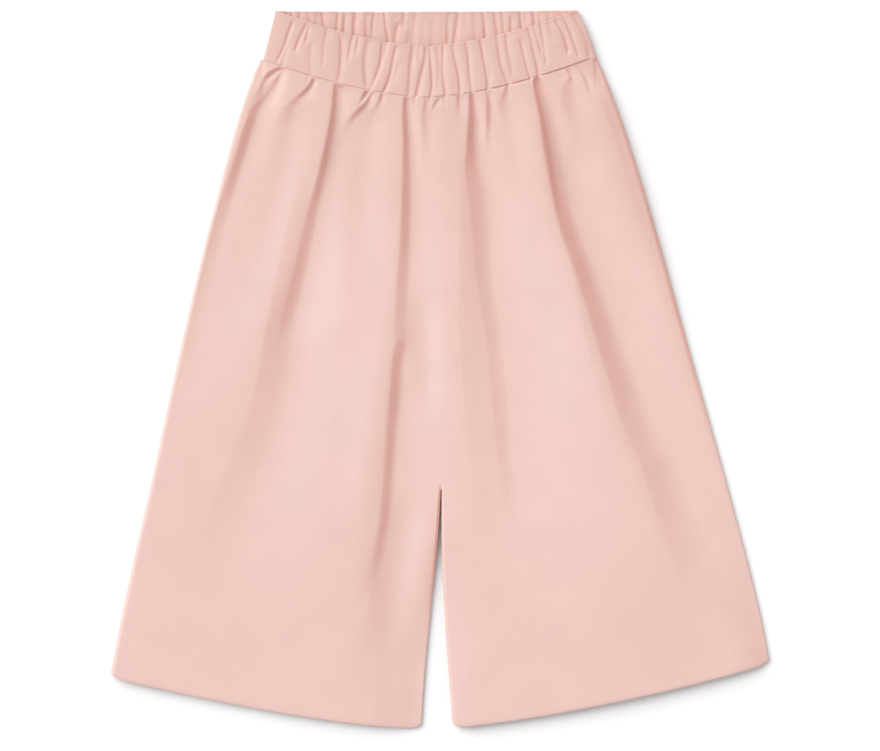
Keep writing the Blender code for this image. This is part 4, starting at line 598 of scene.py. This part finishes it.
def front_roll(across, down):
    """0 along the edges of a front leg, about 1 well inside: a tight roll and a wide slope to each edge."""
    right, left, inner, on_right = side_distances(across, down)
    roll = np.minimum(quarter_round(right, EDGE_TURN), quarter_round(left, LEFT_EDGE_TURN))
    roll = np.minimum(roll, quarter_round(inner, EDGE_TURN))
    inner_share = np.where(on_right, INSEAM_RIGHT_SLOPE[0], INSEAM_LEFT_SLOPE[0])
    inner_width = np.where(on_right, INSEAM_RIGHT_SLOPE[1], INSEAM_LEFT_SLOPE[1])
    side_width = through(SIDE_SLOPES, "down", "wide", down)
    inner_share = inner_share * smooth_step((down - CROTCH[1]) / INSEAM_OPENS)
    for distance, share, width in (
            (right, through(SIDE_SLOPES, "down", "right_share", down), side_width),
            (left, through(SIDE_SLOPES, "down", "left_share", down), side_width),
            (left, LEFT_EDGE_SLOPE[0] * smooth_step(down / LEFT_EDGE_OPENS), LEFT_EDGE_SLOPE[1]),
            (inner, inner_share, inner_width)):
        roll = roll * (1.0 - share * np.clip(1.0 - distance / width, 0.0, 1.0) ** 2)
    return roll


def trough(offset, left, right):
    """1 on the line, 0 well away from it, and steeper near its rim at the wearer's right."""
    part = offset / left
    bell = np.exp(-part * part)
    arch = np.clip(1.0 - (part / FOLD_ARCH_REACH) ** 2, 0.0, 1.0)
    wearers_right = between(bell, arch, FOLD_ARCH)
    return np.where(offset < 0.0, wearers_right, np.exp(-(offset / right) ** 2))


def fold_leaves(rows, across, down):
    """The part of the loft that one fold leaves at each place."""
    head, foot = rows[0].down, rows[-1].down
    at = np.clip(down, head, foot)
    centre = through(rows, "down", "across", at)
    ahead = through(rows, "down", "across", np.clip(at + SLOPE_STEP, head, foot))
    slant = (ahead - centre) / SLOPE_STEP
    offset = (across - centre) / np.sqrt(1.0 + slant ** 2)
    past_end = np.maximum(head - down, down - foot)
    share = np.clip(through(rows, "down", "share", at), 0.0, 1.0) * (1.0 - smooth_step(past_end / FOLD_END))
    left = np.clip(through(rows, "down", "left", at), NARROWEST_FOLD, None)
    right = np.clip(through(rows, "down", "right", at), NARROWEST_FOLD, None)
    return 1.0 - share * trough(offset, left, right)


def loft_left(folds, across, down):
    """What is left of the loft, 0 to 1, after all the folds."""
    left = np.ones_like(across)
    for rows in folds:
        left = left * fold_leaves(rows, across, down)
    return left


def swell_height(across, down):
    """Height of the broad soft swells and hollows between the folds."""
    height = np.zeros_like(across)
    for row in SWELLS:
        turn = math.radians(row.turn)
        wide = (across - row.across) * math.cos(turn) - (down - row.down) * math.sin(turn)
        long = (across - row.across) * math.sin(turn) + (down - row.down) * math.cos(turn)
        height = height + row.height * np.exp(-(wide / row.wide) ** 2 - (long / row.long) ** 2)
    return height


def back_reach(across, down):
    """How much of the back legs' lift there is: full at the waist, none lower down or at the edges."""
    fall = down - waist_seam(across, 0.0)
    return (1.0 - smooth_step(fall / BACK_LOFT_REACH)) * back_roll(across, down)


def back_under(across, down):
    """Height of the back legs' under side, which rests on the surface but for its folds."""
    fall = down - waist_seam(across, 0.0) - SEAM_GAP
    pinch = np.exp(-(fall / BACK_SEAM_PINCH) ** 2)
    seam_height = (BAND_WALL - PANEL_WALL) / 2.0
    lift = BACK_LOFT * back_reach(across, down) * (1.0 - loft_left(BACK_FOLDS, across, down))
    lift = np.where(lift < LEAST_LIFT, 0.0, lift)
    return np.where(pinch > LEAST_PINCH, seam_height * pinch, 0.0) + lift * (1.0 - pinch)


def front_band_rise(part, down_part):
    """Height of the front band above its rest, which grows towards the middle and the seam."""
    hump = np.sin(math.pi * np.clip(part, 0.0, 1.0)) ** FRONT_BAND_ROUNDNESS
    return between(FRONT_BAND_RISE_TOP, FRONT_BAND_RISE_SEAM, down_part) * hump


def front_under(across, down):
    """Height of the front legs' under side."""
    fall = np.clip(down - waist_seam(across, FRONT_FOOT_DIP) - SEAM_GAP, 0.0, None)
    floor = PANEL_WALL + SEAM_GAP + (BACK_LOFT + LAYER_CLEARANCE) * back_reach(across, down)
    width = BAND_FOOT_LEFT[0] - BAND_FOOT_RIGHT[0]
    band_part = (across - BAND_FOOT_RIGHT[0]) / width
    seam_height = (2.0 * BAND_WALL + FRONT_BAND_REST - PANEL_WALL
                   + front_band_rise(band_part, 1.0))
    loft = through(FRONT_LOFT, "fall", "height", fall)
    step = np.maximum(seam_height - floor, LEAST_SEAM_LOFT) - FRONT_LOFT[0].height
    loft = loft + step * np.exp(-(fall / SEAM_REACH) ** 2)
    loft = np.maximum(loft + swell_height(across, down), LEAST_LOFT * loft) * front_roll(across, down)
    body = floor + loft * loft_left(FRONT_FOLDS.values(), across, down)
    pinch = np.exp(-(fall / SEAM_PINCH) ** 2)
    return between(body, np.maximum(seam_height, floor), pinch)


# ======================== shells
RIM_ANGLES = (45.0, 90.0, 135.0)    # of the rim's middle rings, from its upper to its lower side
TINT_IN_SHADE = 1.14        # how rosy cloth is that no light falls on, and how much of that full light takes
TINT_LOST_IN_LIGHT = 0.95


def grid_normals(points):
    """Unit normals of a grid of points, turned up."""
    down_way = np.gradient(points, axis=0)
    across_way = np.gradient(points, axis=1)
    normals = np.cross(across_way, down_way)
    normals /= np.maximum(np.linalg.norm(normals, axis=2, keepdims=True), 1e-12)
    middle = normals[normals.shape[0] // 2, normals.shape[1] // 2]
    return normals * np.sign(middle[2])


def painted_shade_tint(points):
    """Painted shade: 0 on cloth that faces the key light, 1 where it turns away from it, as down into a
    fold.
    """
    facing = np.clip(grid_normals(points) @ KEY_FROM, 0.0, None) / KEY_FROM[2]
    return np.clip(TINT_IN_SHADE - TINT_LOST_IN_LIGHT * facing, 0.0, 1.0)


def add_object(name, data):
    thing = bpy.data.objects.new(name, data)
    bpy.context.scene.collection.objects.link(thing)
    return thing


def closed_shell(name, upper, lower, bulge, gather_shade, sharp=None):
    """A closed mesh between an upper and a lower grid of points, in metres, with a rounded rim.

    bulge is how round the rim is, and 1 a half round. Where sharp is set on the upper grid, the rim keeps
    out of the shading of the upper side.
    """
    rows, columns = upper.shape[:2]
    count = rows * columns
    rim = ([(r, 0) for r in range(rows - 1)]
           + [(rows - 1, c) for c in range(columns - 1)]
           + [(r, columns - 1) for r in range(rows - 1, 0, -1)]
           + [(0, c) for c in range(columns - 1, 0, -1)])
    rim_rows = np.array([r for r, c in rim])
    rim_columns = np.array([c for r, c in rim])
    top = upper[rim_rows, rim_columns]
    low = lower[rim_rows, rim_columns]
    middle = (top + low) / 2.0
    along = np.roll(middle, -1, axis=0) - np.roll(middle, 1, axis=0)
    outward = np.stack([along[:, 1], -along[:, 0], np.zeros(len(along))], axis=1)
    outward /= np.maximum(np.linalg.norm(outward, axis=1, keepdims=True), 1e-12)
    inside = upper.reshape(-1, 3).mean(axis=0)
    if np.mean(np.sum(outward * (middle - inside), axis=1)) < 0.0:
        outward = -outward
    half = np.linalg.norm(top - low, axis=1, keepdims=True) / 2.0 * bulge
    arcs = []
    for angle in RIM_ANGLES:
        radians = math.radians(angle)
        arcs.append(middle + (top - low) / 2.0 * math.cos(radians) + outward * half * math.sin(radians))
    points = np.concatenate([upper.reshape(-1, 3), lower.reshape(-1, 3)] + arcs)

    index = np.arange(count).reshape(rows, columns)
    a, b, c, d = index[:-1, :-1], index[1:, :-1], index[1:, 1:], index[:-1, 1:]
    upper_faces = np.stack([a, b, c, d], axis=-1).reshape(-1, 4)
    lower_faces = np.stack([d, c, b, a], axis=-1).reshape(-1, 4) + count
    rim_index = rim_rows * columns + rim_columns
    rings = [rim_index] + [2 * count + k * len(rim) + np.arange(len(rim)) for k in range(len(arcs))]
    rings.append(rim_index + count)
    sides = []
    for high_ring, low_ring in zip(rings, rings[1:]):
        sides.append(np.stack([high_ring, low_ring, np.roll(low_ring, -1), np.roll(high_ring, -1)], axis=1))
    faces = np.concatenate([upper_faces, lower_faces] + sides)

    mesh = bpy.data.meshes.new(name)
    mesh.from_pydata(points.tolist(), [], faces.tolist())
    mesh.validate()
    mesh.update()
    mesh.shade_smooth()
    # Painted shade: a rosy tint where the upper side turns away from the key light, carried round the rim
    shade_tint = np.zeros(len(points))
    shade_tint[:count] = painted_shade_tint(upper).reshape(-1)
    for ring in rings[1:-1]:
        shade_tint[ring] = shade_tint[rim_index]
    # Painted shade: darker towards the waistband, given on the upper side only
    gather_shades = np.zeros(len(points))
    gather_shades[:count] = gather_shade.reshape(-1)
    on_edge = np.zeros(len(points), dtype=bool)
    if sharp is not None:
        on_edge[index[sharp]] = True
    ends = np.empty(2 * len(mesh.edges), dtype=np.int32)
    mesh.edges.foreach_get("vertices", ends)
    sharp_edges = on_edge[ends.reshape(-1, 2)].all(axis=1)
    for attribute, kind, domain, values in (("shade_tint", "FLOAT", "POINT", shade_tint),
                                            ("gather_shade", "FLOAT", "POINT", gather_shades),
                                            ("sharp_edge", "BOOLEAN", "EDGE", sharp_edges)):
        mesh.attributes.new(attribute, kind, domain).data.foreach_set("value", values)
    return add_object(name, mesh)


def grid_points(across, down, height):
    return np.stack([across * MM, (LENGTH / 2.0 - down) * MM, height * MM], axis=2)


def puckers(across, fall):
    """Depth of the small creases under the waistband, each in line with one of its furrows."""
    depth = np.zeros_like(across)
    for number, furrow in enumerate(FRONT_FURROWS):
        if furrow.ends < 1.0:
            continue
        centre = furrow.foot + PUCKER_FAN * (furrow.foot - CENTRE_SEAM_TOP) * fall
        wide = PUCKER_WIDE + PUCKER_WIDENING * fall
        reach = PUCKER_REACH + PUCKER_REACH_SPREAD * math.sin(PUCKER_TURN * number + 1.0) ** 2
        line = np.exp(-((across - centre) / wide) ** 2 - (fall / reach) ** 2)
        depth = np.maximum(depth, PUCKER_DEPTH * furrow.depth * line)
    return depth


def front_leg(side):
    across, down = leg_places(side, FRONT_FOOT_DIP, FRONT_COLUMNS, FRONT_ROWS_TO_CROTCH, FRONT_ROWS_TO_HEM)
    height = front_under(across, down) + PANEL_WALL
    fall = down - waist_seam(across, FRONT_FOOT_DIP)
    uneven = np.sin(across * DITCH_WAVES[0]) * np.sin(across * DITCH_WAVES[1] + 1.0)
    broken = (1.0 - DITCH_UNEVENNESS) + DITCH_UNEVENNESS * uneven
    ditch = SEAM_DITCH * through(SEAM_MARKS, "across", "share", across) * broken
    height = height - ditch * np.exp(-(fall / SEAM_DITCH_WIDTH) ** 2) - puckers(across, fall)
    upper = grid_points(across, down, height)
    lower = upper - grid_normals(upper) * CLOTH * MM
    sharp = np.zeros(across.shape, dtype=bool)
    sharp[0] = True
    sharp[:FRONT_ROWS_TO_CROTCH, -1] = True
    # Painted shade, full at the waistband seam and fading down the leg
    gather_shade = LEG_GATHER_SHADE * np.exp(-(fall / GATHER_SHADE_REACH) ** 2)
    return closed_shell("cloth_front_leg_" + side, upper, lower, 1.0, gather_shade, sharp)


def back_leg(side):
    across, down = leg_places(side, 0.0, BACK_COLUMNS, BACK_ROWS_TO_CROTCH, BACK_ROWS_TO_HEM)
    under = back_under(across, down)
    lower = grid_points(across, down, under)
    upper = lower + grid_normals(lower) * CLOTH * MM
    # Painted shade, full at the waistband seam and fading down the leg
    gather_shade = LEG_GATHER_SHADE * np.exp(-((down - waist_seam(across, 0.0)) / GATHER_SHADE_REACH) ** 2)
    return closed_shell("cloth_back_leg_" + side, upper, lower, 1.0, gather_shade)


def wave(turns, down_part, number):
    return np.sin(turns[0] * down_part + turns[1] * number)


def band_relief(furrows, across, down_part):
    """Part of the furrow depth taken at each place: 0 on a puff, 1 in the deepest furrow."""
    relief = np.zeros_like(across)
    for number, furrow in enumerate(furrows):
        waver = FURROW_WAVER * wave(WAVER_TURNS, down_part, number)
        offset = across - furrow_line(furrow, down_part) - FURROW_DARK_SIDE * furrow.wide + waver
        swing = (1.0 - FURROW_SWING) + FURROW_SWING * wave(SWING_TURNS, down_part, number)
        depth = furrow.depth * furrow_strength(furrow, down_part) * swing
        wide = furrow.wide * np.where(offset < 0.0, FURROW_STEEP_SIDE, FURROW_SOFT_SIDE)
        sharp = FURROW_SHARPNESS * np.exp(-(offset / wide) ** 2)
        shoulder = (1.0 - FURROW_SHARPNESS) * np.exp(-(offset / (FURROW_SHOULDER * furrow.wide)) ** 2)
        relief = relief + depth * (sharp + shoulder) * (1.0 - relief)
    return relief


def crowded(count, evenness):
    """Places from 0 to 1, closer together towards both ends."""
    to_ends = 0.5 - 0.5 * np.cos(np.linspace(0.0, math.pi, count + 1))
    return between(to_ends, np.linspace(0.0, 1.0, count + 1), evenness)


def waistband(name, furrows, top_dip, foot_dip, rest, rise):
    """Half of the waistband: cloth round the elastic, ruched on both faces, turned over at its top edge.

    rest is the height of its middle layer at its sides, and rise the part of front_band_rise it has.
    """
    part = np.repeat(crowded(BAND_COLUMNS, BAND_COLUMN_EVENNESS)[None, :], BAND_ROWS + 1, axis=0)
    down_part = np.repeat(crowded(BAND_ROWS, BAND_ROW_EVENNESS)[:, None], BAND_COLUMNS + 1, axis=1)
    top = band_edge(BAND_TOP_RIGHT, BAND_TOP_LEFT, part, top_dip)
    foot = band_edge(BAND_FOOT_RIGHT, BAND_FOOT_LEFT, part, foot_dip)
    right, left = band_sides(down_part)
    across = between(right, left, part)
    relief = band_relief(furrows, across, down_part)
    top_wave = EDGE_WAVE * relief[:1, :]
    down = between(top[1] + top_wave, foot[1], down_part)
    height = np.hypot(foot[0] - top[0], foot[1] - top[1])
    from_side = np.minimum(across - right, left - across)
    from_edge = np.minimum(down_part, 1.0 - down_part) * height
    near = np.clip(np.minimum(from_side, from_edge) / EDGE_ROUNDING, 0.0, 1.0)
    rounding = between(EDGE_THICKNESS, 1.0, np.sqrt(1.0 - (1.0 - near) ** 2))
    to_left = np.clip(1.0 - (left - across) / BAND_LEFT_ROUNDING, 0.0, 1.0)
    rounding = rounding * (1.0 - BAND_LEFT_THINNING * to_left ** 2)
    half = np.maximum((BAND_WALL / 2.0 + PUFF - FURROW_DEPTH * relief) * rounding, THINNEST)
    middle = rest + rise * front_band_rise(part, down_part)
    half = half + EDGE_LIP * np.exp(-(down_part * height / EDGE_LIP_WIDTH) ** 2)
    upper = grid_points(across, down, middle + half)
    lower = grid_points(across, down, middle - np.minimum(half, BAND_WALL / 2.0))
    sharp = np.zeros(across.shape, dtype=bool)
    sharp[0] = True
    sharp[-1] = True
    # The bands take the full painted shade of their small creases
    return closed_shell(name, upper, lower, BAND_RIM, np.ones_like(across), sharp)


# ======================== materials
PALE = (0.764, 0.555, 0.504)
# Painted shade: the darker colour of the waistbands and of the legs towards them, standing in for the shade
# among their small creases
PAINTED_GATHER_SHADE = (0.705, 0.482, 0.425)
# Painted shade: the rosier colour that cloth takes where it turns away from the key light
ROSY_IN_SHADE = (0.917, 0.511, 0.440)
LEG_CRINKLE = 0.25          # how strong the crinkle is
BAND_CRINKLE = 0.4
CRINKLE_IN_TONE = 0.5       # how much it darkens and lightens the cloth, for a mottle of 1


def set_sockets(node, values):
    for socket, value in values.items():
        node.inputs[socket].default_value = value


def new_node(tree, kind, sockets, **settings):
    """A node with its settings, and values for the sockets that nothing is linked to."""
    node = tree.nodes.new(kind)
    for key, value in settings.items():
        setattr(node, key, value)
    set_sockets(node, sockets)
    return node


def cotton(name, crinkle_strength):
    """Matt plain-weave cotton with a fine upright crinkle.

    It has painted shade: darker on the waistbands and on the legs towards them, and rosier where it turns
    away from the key light.
    """
    material = bpy.data.materials.new(name)
    material.use_nodes = True
    tree = material.node_tree
    shader = tree.nodes["Principled BSDF"]
    set_sockets(shader, {"Roughness": 0.88, "Specular IOR Level": 0.2,
                         "Sheen Weight": 0.08, "Sheen Roughness": 0.5})

    place = new_node(tree, "ShaderNodeTexCoord", {})
    stretched = new_node(tree, "ShaderNodeMapping", {"Scale": (520.0, 60.0, 520.0)})
    crinkle = new_node(tree, "ShaderNodeTexNoise", {"Scale": 1.0, "Detail": 3.0, "Roughness": 0.6})
    mottle = new_node(tree, "ShaderNodeTexNoise", {"Scale": 34.0, "Detail": 4.0})
    threads = {"Scale": 560.0, "Distortion": 1.2, "Detail": 1.0}
    warp = new_node(tree, "ShaderNodeTexWave", threads, bands_direction="X")
    weft = new_node(tree, "ShaderNodeTexWave", threads, bands_direction="Y")
    weave = new_node(tree, "ShaderNodeMath", {}, operation="MULTIPLY")

    # Painted shade: the waistbands and the legs towards them are mixed towards a darker colour
    gather_shade = new_node(tree, "ShaderNodeAttribute", {}, attribute_name="gather_shade")
    plain = new_node(tree, "ShaderNodeMix", {"A": PALE + (1.0,), "B": PAINTED_GATHER_SHADE + (1.0,)}, data_type="RGBA")
    # Painted shade: cloth that turns away from the key light is mixed towards a rosier colour
    shade_tint = new_node(tree, "ShaderNodeAttribute", {}, attribute_name="shade_tint")
    hue = new_node(tree, "ShaderNodeMix", {"B": ROSY_IN_SHADE + (1.0,)}, data_type="RGBA")
    noises = new_node(tree, "ShaderNodeMath", {1: CRINKLE_IN_TONE}, operation="MULTIPLY_ADD")
    level = new_node(tree, "ShaderNodeMapRange",
                     {"From Min": 0.45, "From Max": 1.05, "To Min": 0.975, "To Max": 1.025})
    tinted = new_node(tree, "ShaderNodeVectorMath", {}, operation="SCALE")
    crinkle_bump = new_node(tree, "ShaderNodeBump", {"Strength": crinkle_strength, "Distance": 0.0004})
    weave_bump = new_node(tree, "ShaderNodeBump", {"Strength": 0.3, "Distance": 0.0001})

    for source, output, target, socket in (
            (place, "Object", stretched, "Vector"), (stretched, "Vector", crinkle, "Vector"),
            (place, "Object", mottle, "Vector"), (place, "Object", warp, "Vector"),
            (place, "Object", weft, "Vector"), (warp, "Fac", weave, 0), (weft, "Fac", weave, 1),
            (gather_shade, "Fac", plain, "Factor"), (plain, "Result", hue, "A"), (shade_tint, "Fac", hue, "Factor"),
            (crinkle, "Fac", noises, 0), (mottle, "Fac", noises, 2), (noises, "Value", level, "Value"),
            (hue, "Result", tinted, "Vector"), (level, "Result", tinted, "Scale"),
            (tinted, "Vector", shader, "Base Color"),
            (crinkle, "Fac", crinkle_bump, "Height"), (weave, "Value", weave_bump, "Height"),
            (crinkle_bump, "Normal", weave_bump, "Normal"), (weave_bump, "Normal", shader, "Normal")):
        tree.links.new(source.outputs[output], target.inputs[socket])
    return material


# ======================== camera, light, floor
CAMERA_HEIGHT = 4.0
FRAME_WIDTH = 0.704         # how much of the surface the picture's width takes in
FRAME_MIDDLE = (-0.0016, -0.0054)
SENSOR = 36.0
CLIP_END = 20.0
FLOOR_REACH = 4.0
FLOOR_DROP = 0.0002


def add_camera():
    data = bpy.data.cameras.new("camera")
    data.sensor_width = SENSOR
    data.lens = SENSOR * CAMERA_HEIGHT / FRAME_WIDTH
    data.clip_end = CLIP_END
    camera = add_object("camera", data)
    camera.location = FRAME_MIDDLE + (CAMERA_HEIGHT,)
    bpy.context.scene.camera = camera


def add_light():
    key_data = bpy.data.lights.new("key", "SUN")
    key_data.energy = KEY_STRENGTH
    key_data.angle = KEY_WIDTH
    key = add_object("key", key_data)
    key.rotation_mode = "QUATERNION"
    key.rotation_quaternion = Vector((-KEY_FROM).tolist()).to_track_quat("-Z", "Y")
    world = bpy.data.worlds.new("studio")
    world.use_nodes = True
    set_sockets(world.node_tree.nodes["Background"],
                {"Color": (1.0, 1.0, 1.0, 1.0), "Strength": ROOM_STRENGTH})
    bpy.context.scene.world = world
    bpy.context.scene.view_settings.view_transform = "Standard"


def add_floor():
    mesh = bpy.data.meshes.new("floor")
    corners = [(x * FLOOR_REACH, y * FLOOR_REACH, 0.0) for x, y in ((-1, -1), (1, -1), (1, 1), (-1, 1))]
    mesh.from_pydata(corners, [], [(0, 1, 2, 3)])
    floor = add_object("floor", mesh)
    material = bpy.data.materials.new("paper")
    material.use_nodes = True
    set_sockets(material.node_tree.nodes["Principled BSDF"],
                {"Base Color": (0.97, 0.97, 0.97, 1.0), "Roughness": 0.9, "Specular IOR Level": 0.0})
    mesh.materials.append(material)
    floor.location.z = -FLOOR_DROP


def dress(piece, node, material):
    piece.data.materials.append(material)
    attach(piece, "root")
    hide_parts(node)


def build():
    add_camera()
    add_light()
    add_floor()
    front_cotton = cotton("front_cotton", LEG_CRINKLE)
    back_cotton = cotton("back_cotton", LEG_CRINKLE)
    ruched_cotton = cotton("ruched_cotton", BAND_CRINKLE)
    for side in ("right", "left"):
        back = back_leg(side)
        dress(back, "back_leg_" + side, back_cotton)
        front = front_leg(side)
        dress(front, "front_leg_" + side, front_cotton)
    back_band = waistband("cloth_waistband_back", BACK_FURROWS, BACK_TOP_DIP, 0.0, BAND_WALL / 2.0, 0.0)
    dress(back_band, "waistband_back", ruched_cotton)
    front_rest = 1.5 * BAND_WALL + FRONT_BAND_REST
    front_band = waistband("cloth_waistband_front", FRONT_FURROWS, FRONT_TOP_DIP, FRONT_FOOT_DIP,
                           front_rest, 1.0)
    dress(front_band, "waistband_front", ruched_cotton)


build()
